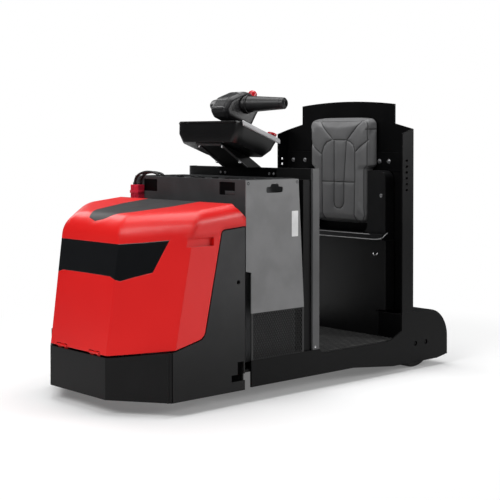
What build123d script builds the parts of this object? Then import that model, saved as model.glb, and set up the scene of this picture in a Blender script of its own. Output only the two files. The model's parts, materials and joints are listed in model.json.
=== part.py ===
from build123d import *
import os
from math import atan2, cos, degrees, radians, sin, tan

# An electric stand-on baggage tug. Millimetres, +Z up, the nose faces -Y,
# the driver's left is +X, and the origin is on the floor under the middle of the machine.

# Overall
LENGTH = 1750
WIDTH = 800
FRONT_Y = -LENGTH / 2
REAR_Y = LENGTH / 2
HALF_W = WIDTH / 2
FAR = 2 * LENGTH           # past the machine, for cutting solids

# Clearances
SEAM = 5                   # round a panel or lid that moves
SEAT = 0.3                 # under a piece that rests and can be lifted
RUN_FIT = 0.05             # radial, round a pin or a shaft that turns

# Body plates
PLATE = 8
PLATE_IN = HALF_W - PLATE
SKIRT_Z = 55               # ground clearance

# Bays along the machine
DRIVE_BAY = 508
BATTERY_BAY = 373
TAIL_BAY = 245
SIDE_REAR_Y = FRONT_Y + DRIVE_BAY
DASH_Y = SIDE_REAR_Y + BATTERY_BAY
BACK_Y = REAR_Y - TAIL_BAY

# Nose apron
NOSE_HALF_W = 187
NOSE_DEPTH = 148
APRON_FRONT_TOP = 212
APRON_SIDE_TOP = 240
APRON_PLATE = 8
APRON_TAB = 34
TAB_LAP = 12
CORNER_SPLIT = 4
NOSE_LAND = 10             # level part of the apron's top, at the nose

# Side plates
SIDE_FRONT_Y = FRONT_Y + NOSE_DEPTH + CORNER_SPLIT
SIDE_TOP_Z = 686
WING_FOOT_Y = SIDE_REAR_Y - 201
WING_FOOT_Z = 276
WING_FOOT_R = 45
WING_HEAD_Y = SIDE_REAR_Y - 114
WING_HEAD_Z = 677
WING_HEAD_R = 14
SLOT_LEN = 69
SLOT_Z = 93
SLOT_H = 26
SLOT_ARM_W = 38
SLOT_ARM_TOP = 167
SLOT_LIP = 6
SIDE_HOLE_IN = 32
SIDE_HOLE_Z = 475
SIDE_HOLE_R = 5

# Sills
SILL_FRONT_Y = SIDE_REAR_Y + 34
SILL_TOP = 164
SILL_LOW = 60
STEP_LOW = 34
BELLY_END_Y = BACK_Y - 380
BELLY_LOW_Y = BACK_Y - 130
TAIL_LOW_Y = REAR_Y - 75
TAIL_Z = 46
DOOR_SILL = 145
STEP_Y = BACK_Y - 70
KICK_Y = STEP_Y - 60
KICK_LEN = 45
KICK_Z = 153
STEP_Z = 182
COVER_TOP = 260
COVER_R = 133
COVER_SHEET = 3

# Floor and bulkhead
FLOOR_Z = 120
FLOOR_T = 10
FLOOR_TOP = FLOOR_Z + FLOOR_T
BULKHEAD_T = 8
BULKHEAD_TOP = 640
RAIL_W = 40
RAIL_H = 20
RAIL_IN = 50
MAT_TOP = 145

# Battery
BATTERY_FRONT_Y = SIDE_REAR_Y + 37
BATTERY_DEPTH = 273
BATTERY_REAR_Y = BATTERY_FRONT_Y + BATTERY_DEPTH
BATTERY_HALF_W = HALF_W - 40
BATTERY_TOP = 868
TRAY_WALL = 6
CELL_DROP = 22
CELL_H = 12
CELLS_LONG = 6
CELLS_DEEP = 2
CELL_GAP = 6
LIFT_HOLE_X = HALF_W - 149
LIFT_HOLE_W = 94
LIFT_HOLE_H = 52
LIFT_HOLE_DEPTH = 5
TRAY_RIM = 12

# Battery plug and its leads
PLUG_X = -(HALF_W - 80)
PLUG_W = 55
PLUG_D = 34
PLUG_H = 62
PLUG_LOW = 768
LEAD_R = 5.5
LEAD_SIDES = 8
BEND_SHARE = 0.45          # of the shorter straight run beside a bend

# Battery panels
PANEL_T = 4
PANEL_OUT = HALF_W - 1
PANEL_TOP = 867
PANEL_FRONT_Y = SIDE_REAR_Y + 6
PANEL_STEP_Z = 510
PANEL_REAR_TOP_Y = BATTERY_REAR_Y - 19
PANEL_REAR_LOW_Y = BATTERY_REAR_Y + 12
PLUG_NOTCH_Z = 740
PLUG_NOTCH_W = 61
PLUG_NOTCH_RISE = 20
GRILLE_TOP = 347
GRILLE_T = 3
GRILLE_SINK = 0.5
GRILLE_COLS = 10
GRILLE_ROWS = 7
GRILLE_EDGE = 10
GRILLE_BAR = 6
GRIP_Y = BATTERY_REAR_Y - 151
GRIP_Z = 827
GRIP_W = 90
GRIP_H = 24
GRIP_ARCH_W = 44
GRIP_ARCH_H = 11
GRIP_R = 8

# Dash wall
DASH_T = 8
DASH_TOP = 906
DASH_IN = 12
DASH_HALF_W = HALF_W - DASH_IN
DASH_FLANGE_Y = DASH_Y + 39
FLANGE_IN = 2
POST_W = 36
POST_D = 46
POST_TOP = 862

# Drive wheel and turntable
DRIVE_Y = FRONT_Y + 345
DRIVE_R = 127
DRIVE_W = 100
DRIVE_RIM_R = 90
DRIVE_HUB_W = 60
TYRE_EDGE = 8
STUB_R = 30
STUB_END = 10
LEG_GAP = 12
LEG_T = 56
LEG_R = 70
DECK_Z = 300
DECK_T = 10
DECK_NOSE_Y = FRONT_Y + 185
DECK_NOSE_HALF_W = 250
DECK_CORNER = 145
RING_R = 120
RING_NECK_R = 92
RING_H = 16
LEG_TRIM = 12
MOTOR_R = 88
MOTOR_H = 230
MOTOR_EDGE = 14

# Rear axle
REAR_WHEEL_Y = REAR_Y - 175
REAR_R = 125
REAR_W = 80
REAR_RIM_R = 85
REAR_OUT_X = HALF_W - 40
RIM_IN = 6
RIM_WALL = 14
RIM_RECESS = 16
AXLE_R = 15
BEAM = 70
RAIL_X = HALF_W - 138
RAIL_T = 12
REAR_FRAME_TOP = 232
REAR_FRAME_END = REAR_Y - 32
REAR_FRAME_LOW_TOP = 190
HOUSING_GAP = 6
CROSS_REAR_Y = BACK_Y - 8

# Tow coupling
TOW_Y = REAR_Y - 42
TOW_BACK_Y = REAR_Y - 100
TOW_PIN_R = 12.5
TOW_HOLE_GAP = 0.5
TOW_BACK_HALF_W = 72
TOW_BACK_T = 12
TOW_BACK_LOW = 24
TOW_BACK_HIGH = 12
TOW_OPENING_HALF_W = 130
JAW_LOW = 128
JAW_GAP = 70
JAW_T = 14
JAW_W = 90
JAW_NOSE = 40
JAW_TOP = JAW_LOW + JAW_GAP + 2 * JAW_T
PIN_TAIL = 4
PIN_HEAD = 28
COLLAR_LIP = 7
COLLAR_H = 8
LOOP_R = 22
LOOP_HOLE_R = 13
LOOP_T = 8

# Backrest
BACK_T = 6
BACK_TOP = 1201
CROWN = 16                 # rise of the curved top edge
HUMP_HALF_W = HALF_W - 105
SHOULDER_DROP = 104
SHOULDER_SLOPE = 25
FLANGE_W = 68
FLANGE_SLOPE = 21
STRAP_Z = 881
STRAP_H = 86
STRAP_T = 6
SLOT_COUNT = 6
SLOT_PITCH = 26
HEIGHT_SLOT_H = 10
HEIGHT_SLOT_W = 14
HEIGHT_SLOT_Z = 797
HEIGHT_SLOT_Y = BACK_Y - 40

# Cushion, hip shell and the box below
CUSHION_HALF_W = 177
CUSHION_LOW = 635
CUSHION_TOP = 1120
CUSHION_LOW_T = 36
CUSHION_TOP_T = 70
CUSHION_ROUND = 24
CUSHION_NOSE = 40
SHELL_HALF_W = HALF_W - 105
SHELL_D = 62
SHELL_TOP = 885
SHELL_R = 40
BENCH_TOP = 600
BENCH_D = 82
BENCH_T = 26
WELL_HALF_W = 186
BOX_D = 67
BOX_HALF_W = HALF_W - 100
BOX_WALL = 4
BOX_STEP = 2

# Hood
HOOD_WALL = 6
HOOD_LOW = APRON_FRONT_TOP + 8
LEAN_Z = 200               # where the leaning nose is plumb with the apron
HOOD_REAR_Y = SIDE_REAR_Y - 36
HOOD_WING_Y = SIDE_REAR_Y + 6
HOOD_REAR_TOP = 782
HOOD_SLOPE = 0.107
HOOD_ROUND = 100
SHOULDER_ROUND = 58
NOSE_LEAN = 0.134
CORNER_LEAN = 0.198
NOSE_SPREAD = 0.013
CORNER_Y = FRONT_Y + 156
CORNER_SHARE = 0.5         # of the wall, by which the slanted corner's rear end moves
NOSE_SHARE = 0.35          # of the wall, by which its front end moves
INNER_LOW = LEAN_Z - 50
INNER_REACH = 60
REAR_EDGE_LOW = 716
REAR_EDGE_HIGH = 766
RECESS_FRONT_Y = FRONT_Y + 211
RECESS_LEN = 139
RECESS_Z = 625
RECESS_H = 32
RECESS_DEPTH = 14
HINGE_IN = 7
HINGE_Y = FRONT_Y + HINGE_IN
HINGE_Z = HOOD_LOW + 2
HINGE_R = 5.5
HINGE_PIN_R = 2.5
HINGE_X = 110
HINGE_NOTCH = 3
LEAF_T = 3
LEAF_H = 40
HOOD_LEAF_H = 30
HOOD_LEAF_T = 4
KNUCKLE = 22
KNUCKLE_GAP = 0.5

# Dark panels let into the hood
WINDOW_T = 3
WINDOW_LOW = 512
WINDOW_H = 121
WINDOW_HALF_W = 336
WINDOW_REAR_Y = FRONT_Y + 315
INSERT_T = 3
INSERT_HALF_W = 168
INSERT_NOSE_Y = FRONT_Y + 85

# Console
CONSOLE_FRONT_Y = DASH_Y - 228
CONSOLE_FRONT_Z = 1103
CONSOLE_REAR_Y = DASH_Y - 3
CONSOLE_REAR_Z = 1019
CONSOLE_HALF_W = 210
CONSOLE_RIM = 8
RIM_LIP = 3
CONSOLE_WAIST = 50
CONSOLE_TAPER = 8
CONSOLE_DEPTH = 84
CONSOLE_LOW_HALF_W = 177
CONSOLE_LOW_LEN = 185
CONSOLE_CORNER = 34
CONSOLE_TILT = atan2(CONSOLE_FRONT_Z - CONSOLE_REAR_Z, CONSOLE_REAR_Y - CONSOLE_FRONT_Y)
CONSOLE_LEN = (CONSOLE_REAR_Y - CONSOLE_FRONT_Y) / cos(CONSOLE_TILT)
CONSOLE_MID = (0, (CONSOLE_FRONT_Y + CONSOLE_REAR_Y) / 2, (CONSOLE_FRONT_Z + CONSOLE_REAR_Z) / 2)
BRACKET_HALF_W = 80
BRACKET_T = 6
BRACKET_IN = 6
BRACKET_FOOT_D = 66
FOOT_HALF_W = 180
FOOT_H = 40
BUTTON_R = 20
BUTTON_X = 175
BUTTON_IN = 25
BUTTON_STALK = 16
BUTTON_H = 9

# Handle, in the console's own frame
HANDLE_FOOT_Y = 30
NECK_HALF_W = 75
NECK_LEN = 90
NECK_FLARE = 15
NECK_H = 40
SPIGOT_R = 35
SPIGOT_H = 12
POD_HALF_W = 55
POD_EDGE = 14
GRIP_ROOT = (26, 11, 126)
GRIP_TIP = (232, 76, 152)
GRIP_ROOT_R = 38
GRIP_TIP_R = 24
GRIP_EDGE = 8
GRIP_SLACK = 0.3
DOME_X = 33
DOME_Y = 52
DOME_Z = 176
DOME_R = 19
DOME_H = 27
DOME_EDGE = 9


def block(x0, x1, y0, y1, z0, z1):
    size = (x1 - x0, y1 - y0, z1 - z0)
    middle = ((x0 + x1) / 2, (y0 + y1) / 2, (z0 + z1) / 2)
    return Pos(*middle) * Box(*size)


def outline(points, rounds=None):
    """A closed outline, with radii for some of its corners, by their place in the list."""
    shape = make_face(Polyline(*points, close=True))
    for corner, radius in (rounds or {}).items():
        place = (points[corner][0], points[corner][1], 0)
        shape = fillet(shape.vertices().sort_by_distance(place)[0], radius)
    return shape


def side_sheet(points, x0, x1, rounds=None):
    """A sheet whose outline is given as (y, z) points, from x0 to x1."""
    return extrude(Plane.YZ.offset(x0) * outline(points, rounds), amount=x1 - x0)


def front_sheet(points, y0, y1, rounds=None):
    """A sheet whose outline is given as (x, z) points, from y0 to y1."""
    return extrude(Plane.XZ.offset(-y1) * outline(points, rounds), amount=y1 - y0)


def plan_sheet(points, z0, z1, rounds=None):
    """A sheet whose outline is given as (x, y) points, from z0 to z1."""
    return extrude(Plane.XY.offset(z0) * outline(points, rounds), amount=z1 - z0)


def rod_x(radius, x0, x1, y, z):
    return Pos((x0 + x1) / 2, y, z) * Rot(0, 90, 0) * Cylinder(radius, x1 - x0)


def rod_y(radius, y0, y1, x, z):
    return Pos(x, (y0 + y1) / 2, z) * Rot(90, 0, 0) * Cylinder(radius, y1 - y0)


def rod_z(radius, z0, z1, x, y):
    return Pos(x, y, (z0 + z1) / 2) * Cylinder(radius, z1 - z0)


def both(piece):
    """The same piece mirrored to the other side of the machine."""
    return mirror(piece, about=Plane.YZ)


def nose_plan(inset, reach):
    """Plan outline of the nose, inset by a wall and running back to reach."""
    slant = atan2(NOSE_DEPTH, HALF_W - NOSE_HALF_W)
    side = HALF_W - inset
    front = FRONT_Y + inset
    half_nose = NOSE_HALF_W - inset * (1 - cos(slant)) / sin(slant)
    corner = front + (side - half_nose) * tan(slant)
    return [(-side, reach), (-side, corner), (-half_nose, front),
            (half_nose, front), (side, corner), (side, reach)]


def make_apron():
    """The nose's folded skirt, with a tab inside each side plate."""
    split = FRONT_Y + NOSE_DEPTH
    apron = plan_sheet(nose_plan(0, split + APRON_TAB), SKIRT_Z, APRON_SIDE_TOP)
    apron -= plan_sheet(nose_plan(APRON_PLATE, split + 2 * APRON_TAB), 0, FAR)
    above = [(FRONT_Y - NOSE_LAND, APRON_FRONT_TOP), (FRONT_Y + NOSE_LAND, APRON_FRONT_TOP),
             (split, APRON_SIDE_TOP), (split, FAR), (FRONT_Y - NOSE_LAND, FAR)]
    apron -= side_sheet(above, -WIDTH, WIDTH)
    outside = block(PLATE_IN, WIDTH, split, FAR, 0, FAR)
    apron -= outside + both(outside)
    tab = block(PLATE_IN - APRON_PLATE, PLATE_IN, split - TAB_LAP, split + APRON_TAB,
                SKIRT_Z, APRON_SIDE_TOP)
    return apron + tab + both(tab)


SIDE_PLATE = [(SIDE_FRONT_Y, APRON_SIDE_TOP), (WING_FOOT_Y, WING_FOOT_Z),
              (WING_HEAD_Y, WING_HEAD_Z), (SIDE_REAR_Y, SIDE_TOP_Z),
              (SIDE_REAR_Y, SKIRT_Z), (SIDE_FRONT_Y, SKIRT_Z)]
SIDE_PLATE_ROUNDS = {1: WING_FOOT_R, 2: WING_HEAD_R}


def make_side_plate():
    plate = side_sheet(SIDE_PLATE, PLATE_IN, HALF_W, SIDE_PLATE_ROUNDS)
    slot = block(0, WIDTH, SIDE_REAR_Y - SLOT_LEN, SIDE_REAR_Y + SEAM, SLOT_Z, SLOT_Z + SLOT_H)
    slot += block(0, WIDTH, SIDE_REAR_Y - SLOT_ARM_W, SIDE_REAR_Y - SLOT_LIP, SLOT_Z, SLOT_ARM_TOP)
    return plate - slot - rod_x(SIDE_HOLE_R, 0, WIDTH, SIDE_REAR_Y - SIDE_HOLE_IN, SIDE_HOLE_Z)


def make_sill():
    """The side's lower plate: past the battery, the step, and the rear wheel's round cover."""
    points = [(SILL_FRONT_Y, SILL_LOW), (BELLY_END_Y, SILL_LOW), (BELLY_LOW_Y, STEP_LOW),
              (TAIL_LOW_Y, STEP_LOW), (REAR_Y, TAIL_Z), (REAR_Y, COVER_TOP), (STEP_Y, COVER_TOP),
              (STEP_Y, STEP_Z), (KICK_Y, KICK_Z), (KICK_Y - KICK_LEN, DOOR_SILL),
              (DASH_FLANGE_Y + SILL_TOP - DOOR_SILL, DOOR_SILL), (DASH_FLANGE_Y, SILL_TOP),
              (SILL_FRONT_Y, SILL_TOP)]
    return side_sheet(points, PLATE_IN, HALF_W, {5: COVER_R})


def make_floor():
    """The floor under battery and platform, with two cross rails that carry the battery."""
    floor = block(-PLATE_IN, PLATE_IN, SIDE_REAR_Y, STEP_Y, FLOOR_Z, FLOOR_TOP)
    floor += block(-RAIL_X, RAIL_X, STEP_Y, CROSS_REAR_Y, FLOOR_Z, FLOOR_TOP)
    for y in (BATTERY_FRONT_Y + RAIL_IN, BATTERY_REAR_Y - RAIL_IN):
        floor += block(-BATTERY_HALF_W, BATTERY_HALF_W, y - RAIL_W / 2, y + RAIL_W / 2,
                       FLOOR_Z, FLOOR_TOP + RAIL_H)
    return floor + block(-PLATE_IN, PLATE_IN, SIDE_REAR_Y - BULKHEAD_T, SIDE_REAR_Y,
                         SILL_LOW, BULKHEAD_TOP)


def make_drive_deck():
    back = SIDE_REAR_Y - BULKHEAD_T
    corner = DECK_NOSE_Y + DECK_CORNER
    points = [(-PLATE_IN, back), (-PLATE_IN, corner), (-DECK_NOSE_HALF_W, DECK_NOSE_Y),
              (DECK_NOSE_HALF_W, DECK_NOSE_Y), (PLATE_IN, corner), (PLATE_IN, back)]
    return plan_sheet(points, DECK_Z, DECK_Z + DECK_T) - rod_z(RING_NECK_R + SEAM, 0, FAR, 0, DRIVE_Y)


LEG_IN = -(DRIVE_W / 2 + LEG_GAP)


def make_drive_yoke():
    """Turntable through the deck, with one leg that carries the drive wheel's stub."""
    low = DECK_Z - SEAT - RING_H
    top = DECK_Z + DECK_T + SEAT
    leg = rod_x(LEG_R, LEG_IN - LEG_T, LEG_IN, DRIVE_Y, DRIVE_R)
    leg += block(LEG_IN - LEG_T, LEG_IN, DRIVE_Y - LEG_R, DRIVE_Y + LEG_R, DRIVE_R, low + RING_H)
    leg = leg & rod_z(RING_R + LEG_TRIM, 0, low + RING_H, 0, DRIVE_Y)
    yoke = leg + rod_z(RING_R, low, low + RING_H, 0, DRIVE_Y)
    yoke += rod_z(RING_NECK_R, low, top + RING_H, 0, DRIVE_Y)
    yoke += rod_z(RING_R, top, top + RING_H, 0, DRIVE_Y)
    return yoke - rod_x(STUB_R + RUN_FIT, LEG_IN - LEG_T + STUB_END, LEG_IN + SEAM, DRIVE_Y, DRIVE_R)


def make_drive_motor():
    low = DECK_Z + DECK_T + SEAT + RING_H
    motor = rod_z(MOTOR_R, low, low + MOTOR_H, 0, DRIVE_Y)
    return chamfer(motor.edges().group_by(Axis.Z)[-1], MOTOR_EDGE)


def make_drive_hub():
    hub = rod_x(DRIVE_RIM_R, -DRIVE_HUB_W / 2, DRIVE_HUB_W / 2, DRIVE_Y, DRIVE_R)
    return hub + rod_x(STUB_R, LEG_IN - LEG_T + STUB_END + SEAM, 0, DRIVE_Y, DRIVE_R)


def make_tyre(radius, bore, width, centre_x, y):
    tyre = rod_x(radius, centre_x - width / 2, centre_x + width / 2, y, radius)
    tyre = chamfer(tyre.edges().filter_by(GeomType.CIRCLE), TYRE_EDGE)
    return tyre - rod_x(bore, centre_x - width, centre_x + width, y, radius)


def make_rear_hub():
    inner = REAR_OUT_X - REAR_W + RIM_IN
    outer = REAR_OUT_X - RIM_IN
    hub = rod_x(REAR_RIM_R, inner, outer, REAR_WHEEL_Y, REAR_R)
    hub -= rod_x(REAR_RIM_R - RIM_WALL, outer - RIM_RECESS, outer + SEAM, REAR_WHEEL_Y, REAR_R)
    return hub - rod_x(AXLE_R + RUN_FIT, inner - SEAM, outer + SEAM, REAR_WHEEL_Y, REAR_R)


def axle_beam():
    half = RAIL_X + RAIL_T
    return block(-half, half, REAR_WHEEL_Y - BEAM / 2, REAR_WHEEL_Y + BEAM / 2,
                 REAR_R - BEAM / 2, REAR_R + BEAM / 2)


def make_rear_axle():
    return axle_beam() + rod_x(AXLE_R, -REAR_OUT_X, REAR_OUT_X, REAR_WHEEL_Y, REAR_R)


def make_rear_frame():
    """Two rails either side of the tow coupling, with the wheel housings' end plates."""
    half = block(RAIL_X, RAIL_X + RAIL_T, STEP_Y, TOW_BACK_Y, SILL_LOW, REAR_FRAME_TOP)
    half += block(RAIL_X, RAIL_X + RAIL_T, TOW_BACK_Y, REAR_FRAME_END, SILL_LOW, REAR_FRAME_LOW_TOP)
    half += block(RAIL_X, PLATE_IN, STEP_Y, STEP_Y + PLATE, SILL_LOW, COVER_TOP - HOUSING_GAP)
    half += block(RAIL_X, PLATE_IN, REAR_FRAME_END - PLATE, REAR_FRAME_END, SILL_LOW,
                  REAR_FRAME_LOW_TOP)
    frame = half + both(half)
    frame += block(-RAIL_X, RAIL_X, STEP_Y, STEP_Y + PLATE, SILL_LOW, FLOOR_Z)
    frame += block(-RAIL_X, RAIL_X, CROSS_REAR_Y, CROSS_REAR_Y + PLATE, SILL_LOW, REAR_FRAME_TOP)
    frame += block(-RAIL_X, RAIL_X, TOW_BACK_Y - RAIL_T, TOW_BACK_Y, SILL_LOW, REAR_FRAME_TOP)
    return frame - axle_beam()


def tail_form(inset):
    """The tail's rounded section across the whole machine, inset by a sheet."""
    front = BACK_Y + BACK_T - inset
    rear = REAR_Y - inset
    top = COVER_TOP - inset
    points = [(front, SILL_LOW - inset), (rear, SILL_LOW - inset), (rear, top), (front, top)]
    return side_sheet(points, -PLATE_IN, PLATE_IN, {2: COVER_R - inset})


def make_rear_cover():
    """Bent sheet over the rear wheels, open in the middle for the tow coupling."""
    cover = tail_form(0) - tail_form(COVER_SHEET)
    return cover - block(-TOW_OPENING_HALF_W, TOW_OPENING_HALF_W, TOW_BACK_Y + RUN_FIT,
                         REAR_Y + SEAM, 0, FAR)


def make_tow_coupling():
    """A two-plate jaw with rounded ends on a back plate."""
    coupling = block(-TOW_BACK_HALF_W, TOW_BACK_HALF_W, TOW_BACK_Y, TOW_BACK_Y + TOW_BACK_T,
                     JAW_LOW - TOW_BACK_LOW, JAW_TOP + TOW_BACK_HIGH)
    half = JAW_W / 2
    end = TOW_Y + JAW_NOSE
    plan = [(-half, TOW_BACK_Y), (half, TOW_BACK_Y), (half, end), (-half, end)]
    for z in (JAW_LOW, JAW_LOW + JAW_T + JAW_GAP):
        coupling += plan_sheet(plan, z, z + JAW_T, {2: JAW_NOSE, 3: JAW_NOSE})
    return coupling - rod_z(TOW_PIN_R + TOW_HOLE_GAP, 0, FAR, 0, TOW_Y)


def make_tow_pin():
    """The lift-out pin, its collar on the upper jaw, and a flat pull ring."""
    head = JAW_TOP + PIN_HEAD
    pin = rod_z(TOW_PIN_R, JAW_LOW - PIN_TAIL, head, 0, TOW_Y)
    pin += rod_z(TOW_PIN_R + COLLAR_LIP, JAW_TOP + SEAT, JAW_TOP + COLLAR_H, 0, TOW_Y)
    loop_z = head + LOOP_HOLE_R
    loop = rod_y(LOOP_R, TOW_Y - LOOP_T / 2, TOW_Y + LOOP_T / 2, 0, loop_z)
    return pin + loop - rod_y(LOOP_HOLE_R, TOW_Y - LOOP_R, TOW_Y + LOOP_R, 0, loop_z)


def make_backrest_plate():
    """Backrest sheet with a crowned top and side flanges with height slots."""
    shoulder_in = BACK_TOP - SHOULDER_DROP
    shoulder_out = shoulder_in - SHOULDER_SLOPE
    half = [(HUMP_HALF_W, BACK_TOP), (HUMP_HALF_W, shoulder_in), (HALF_W, shoulder_out),
            (HALF_W, COVER_TOP)]
    points = half + [(-x, z) for x, z in half[::-1]]
    crown_r = (HUMP_HALF_W ** 2 + CROWN ** 2) / (2 * CROWN)
    plate = front_sheet(points, BACK_Y, BACK_Y + BACK_T)
    plate = plate & rod_y(crown_r, BACK_Y - SEAM, BACK_Y + BACK_T + SEAM, 0, BACK_TOP - crown_r)
    flange = [(BACK_Y - FLANGE_W, COVER_TOP), (BACK_Y - FLANGE_W, shoulder_out - FLANGE_SLOPE),
              (BACK_Y, shoulder_out), (BACK_Y, COVER_TOP)]
    side = side_sheet(flange, PLATE_IN, HALF_W)
    for i in range(SLOT_COUNT):
        z = HEIGHT_SLOT_Z + SLOT_PITCH * i
        side -= block(0, WIDTH, HEIGHT_SLOT_Y - HEIGHT_SLOT_W / 2, HEIGHT_SLOT_Y + HEIGHT_SLOT_W / 2,
                      z, z + HEIGHT_SLOT_H)
    return plate + side + both(side)


SEAT_BACK_Y = BACK_Y - STRAP_T - SEAT


def make_strap():
    return block(-PLATE_IN, PLATE_IN, BACK_Y - STRAP_T, BACK_Y, STRAP_Z, STRAP_Z + STRAP_H)


def make_cushion():
    """The back cushion's plain form, thicker towards its top."""
    top_front = BACK_Y - CUSHION_TOP_T
    points = [(BACK_Y - CUSHION_LOW_T, CUSHION_LOW), (top_front, CUSHION_TOP - CUSHION_NOSE),
              (top_front, CUSHION_TOP), (SEAT_BACK_Y, CUSHION_TOP), (SEAT_BACK_Y, CUSHION_LOW)]
    pad = side_sheet(points, -CUSHION_HALF_W, CUSHION_HALF_W, {2: CUSHION_ROUND})
    return chamfer(pad.edges().filter_by(Axis.Y), CUSHION_ROUND)


def make_hip_shell():
    """Moulded shell round the hips: a bench and two wings, open above the bench."""
    low = BENCH_TOP - BENCH_T
    corners = [(-SHELL_HALF_W, low), (SHELL_HALF_W, low), (SHELL_HALF_W, SHELL_TOP),
               (-SHELL_HALF_W, SHELL_TOP)]
    shell = front_sheet(corners, BACK_Y - SHELL_D, SEAT_BACK_Y, {2: SHELL_R, 3: SHELL_R})
    well = [(-WELL_HALF_W, BENCH_TOP), (WELL_HALF_W, BENCH_TOP), (WELL_HALF_W, FAR),
            (-WELL_HALF_W, FAR)]
    shell -= front_sheet(well, 0, FAR, {0: SHELL_R, 1: SHELL_R})
    return shell + block(-SHELL_HALF_W, SHELL_HALF_W, BACK_Y - BENCH_D, SEAT_BACK_Y, low, BENCH_TOP)


def make_rear_box():
    """The box under the bench: a pan between the wheel housings, wider above them."""
    front = BACK_Y - BOX_D
    back = CROSS_REAR_Y - SEAT
    low = FLOOR_TOP + SEAT
    step = COVER_TOP + BOX_STEP
    top = BENCH_TOP - BENCH_T
    foot = RAIL_X - BOX_WALL
    box = block(-foot, foot, front, back, low, top)
    box += block(-BOX_HALF_W, BOX_HALF_W, front, back, step, top)
    wall = BOX_WALL
    box -= block(-foot + wall, foot - wall, front + wall, FAR, low + wall, top - wall)
    return box - block(-BOX_HALF_W + wall, BOX_HALF_W - wall, front + wall, FAR, step + wall, top - wall)


def make_mat():
    return block(-PLATE_IN, PLATE_IN, DASH_Y + DASH_T, STEP_Y, FLOOR_TOP, MAT_TOP)


def make_battery():
    """The battery tray, one heavy block, with the cells' lids sunk below its rim."""
    low = FLOOR_TOP + RAIL_H
    x1 = BATTERY_HALF_W - TRAY_WALL
    y0 = BATTERY_FRONT_Y + TRAY_WALL
    y1 = BATTERY_REAR_Y - TRAY_WALL
    lid_z = BATTERY_TOP - CELL_DROP
    tray = block(-BATTERY_HALF_W, BATTERY_HALF_W, BATTERY_FRONT_Y, BATTERY_REAR_Y, low, BATTERY_TOP)
    tray -= block(-x1, x1, y0, y1, lid_z, BATTERY_TOP + SEAM)
    pitch_x = 2 * x1 / CELLS_LONG
    pitch_y = (y1 - y0) / CELLS_DEEP
    for col in range(CELLS_LONG):
        for row in range(CELLS_DEEP):
            x = -x1 + pitch_x * (col + 0.5)
            y = y0 + pitch_y * (row + 0.5)
            tray += Pos(x, y, lid_z + CELL_H / 2) * Box(pitch_x - CELL_GAP, pitch_y - CELL_GAP, CELL_H)
    hole_z = BATTERY_TOP - TRAY_RIM - LIFT_HOLE_H / 2
    for x in (-LIFT_HOLE_X, LIFT_HOLE_X):
        for y in (BATTERY_FRONT_Y, BATTERY_REAR_Y):
            tray -= Pos(x, y, hole_z) * Box(LIFT_HOLE_W, 2 * LIFT_HOLE_DEPTH, LIFT_HOLE_H)
    return tray


def panel_grip():
    """The hand hole of a battery panel: a slot with an arched middle."""
    half = GRIP_W / 2
    arch = GRIP_ARCH_W / 2
    low = GRIP_Z - GRIP_H / 2
    top = GRIP_Z + GRIP_H / 2
    points = [(GRIP_Y - half, low), (GRIP_Y + half, low), (GRIP_Y + half, top), (GRIP_Y + arch, top),
              (GRIP_Y + arch, top + GRIP_ARCH_H), (GRIP_Y - arch, top + GRIP_ARCH_H),
              (GRIP_Y - arch, top), (GRIP_Y - half, top)]
    rounds = {corner: GRIP_R for corner in (0, 1, 2, 4, 5, 7)}
    return side_sheet(points, 0, WIDTH, rounds)


def make_panel(side):
    """The lift-off cover of the battery, an upside-down U above the grille."""
    x0 = PANEL_OUT - PANEL_T
    low = SILL_TOP + SEAT
    notch_top = PLUG_NOTCH_Z + PLUG_NOTCH_RISE
    upper = [(PANEL_FRONT_Y, PANEL_TOP)]
    if side == "right":
        # The right-hand panel leaves the battery plug free.
        upper = [(PANEL_FRONT_Y, PLUG_NOTCH_Z), (PANEL_FRONT_Y + PLUG_NOTCH_W, notch_top),
                 (PANEL_FRONT_Y + PLUG_NOTCH_W, PANEL_TOP)]
    points = [(SILL_FRONT_Y, low), (SILL_FRONT_Y, PANEL_STEP_Z - LEAF_T),
              (PANEL_FRONT_Y, PANEL_STEP_Z + LEAF_T)] + upper
    points += [(PANEL_REAR_TOP_Y, PANEL_TOP), (PANEL_REAR_LOW_Y, GRILLE_TOP), (PANEL_REAR_LOW_Y, low)]
    panel = side_sheet(points, x0, PANEL_OUT)
    panel -= block(0, WIDTH, SILL_FRONT_Y + GRILLE_EDGE, PANEL_REAR_LOW_Y - GRILLE_EDGE, 0, GRILLE_TOP)
    panel -= panel_grip()
    return panel if side == "left" else both(panel)


def make_grille():
    """The square-mesh vent at the panel's foot."""
    y0 = SILL_FRONT_Y + GRILLE_EDGE
    y1 = PANEL_REAR_LOW_Y - GRILLE_EDGE
    z0 = SILL_TOP + SEAT
    x1 = PANEL_OUT - GRILLE_SINK
    grille = block(x1 - GRILLE_T, x1, y0, y1, z0, GRILLE_TOP)
    pitch_y = (y1 - y0 - GRILLE_BAR) / GRILLE_COLS
    pitch_z = (GRILLE_TOP - z0 - GRILLE_BAR) / GRILLE_ROWS
    mesh = Box(2 * PLATE, pitch_y - GRILLE_BAR, pitch_z - GRILLE_BAR)
    holes = []
    for col in range(GRILLE_COLS):
        for row in range(GRILLE_ROWS):
            y = y0 + GRILLE_BAR / 2 + pitch_y * (col + 0.5)
            z = z0 + GRILLE_BAR / 2 + pitch_z * (row + 0.5)
            holes.append(Pos(x1, y, z) * mesh)
    return grille - holes


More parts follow.
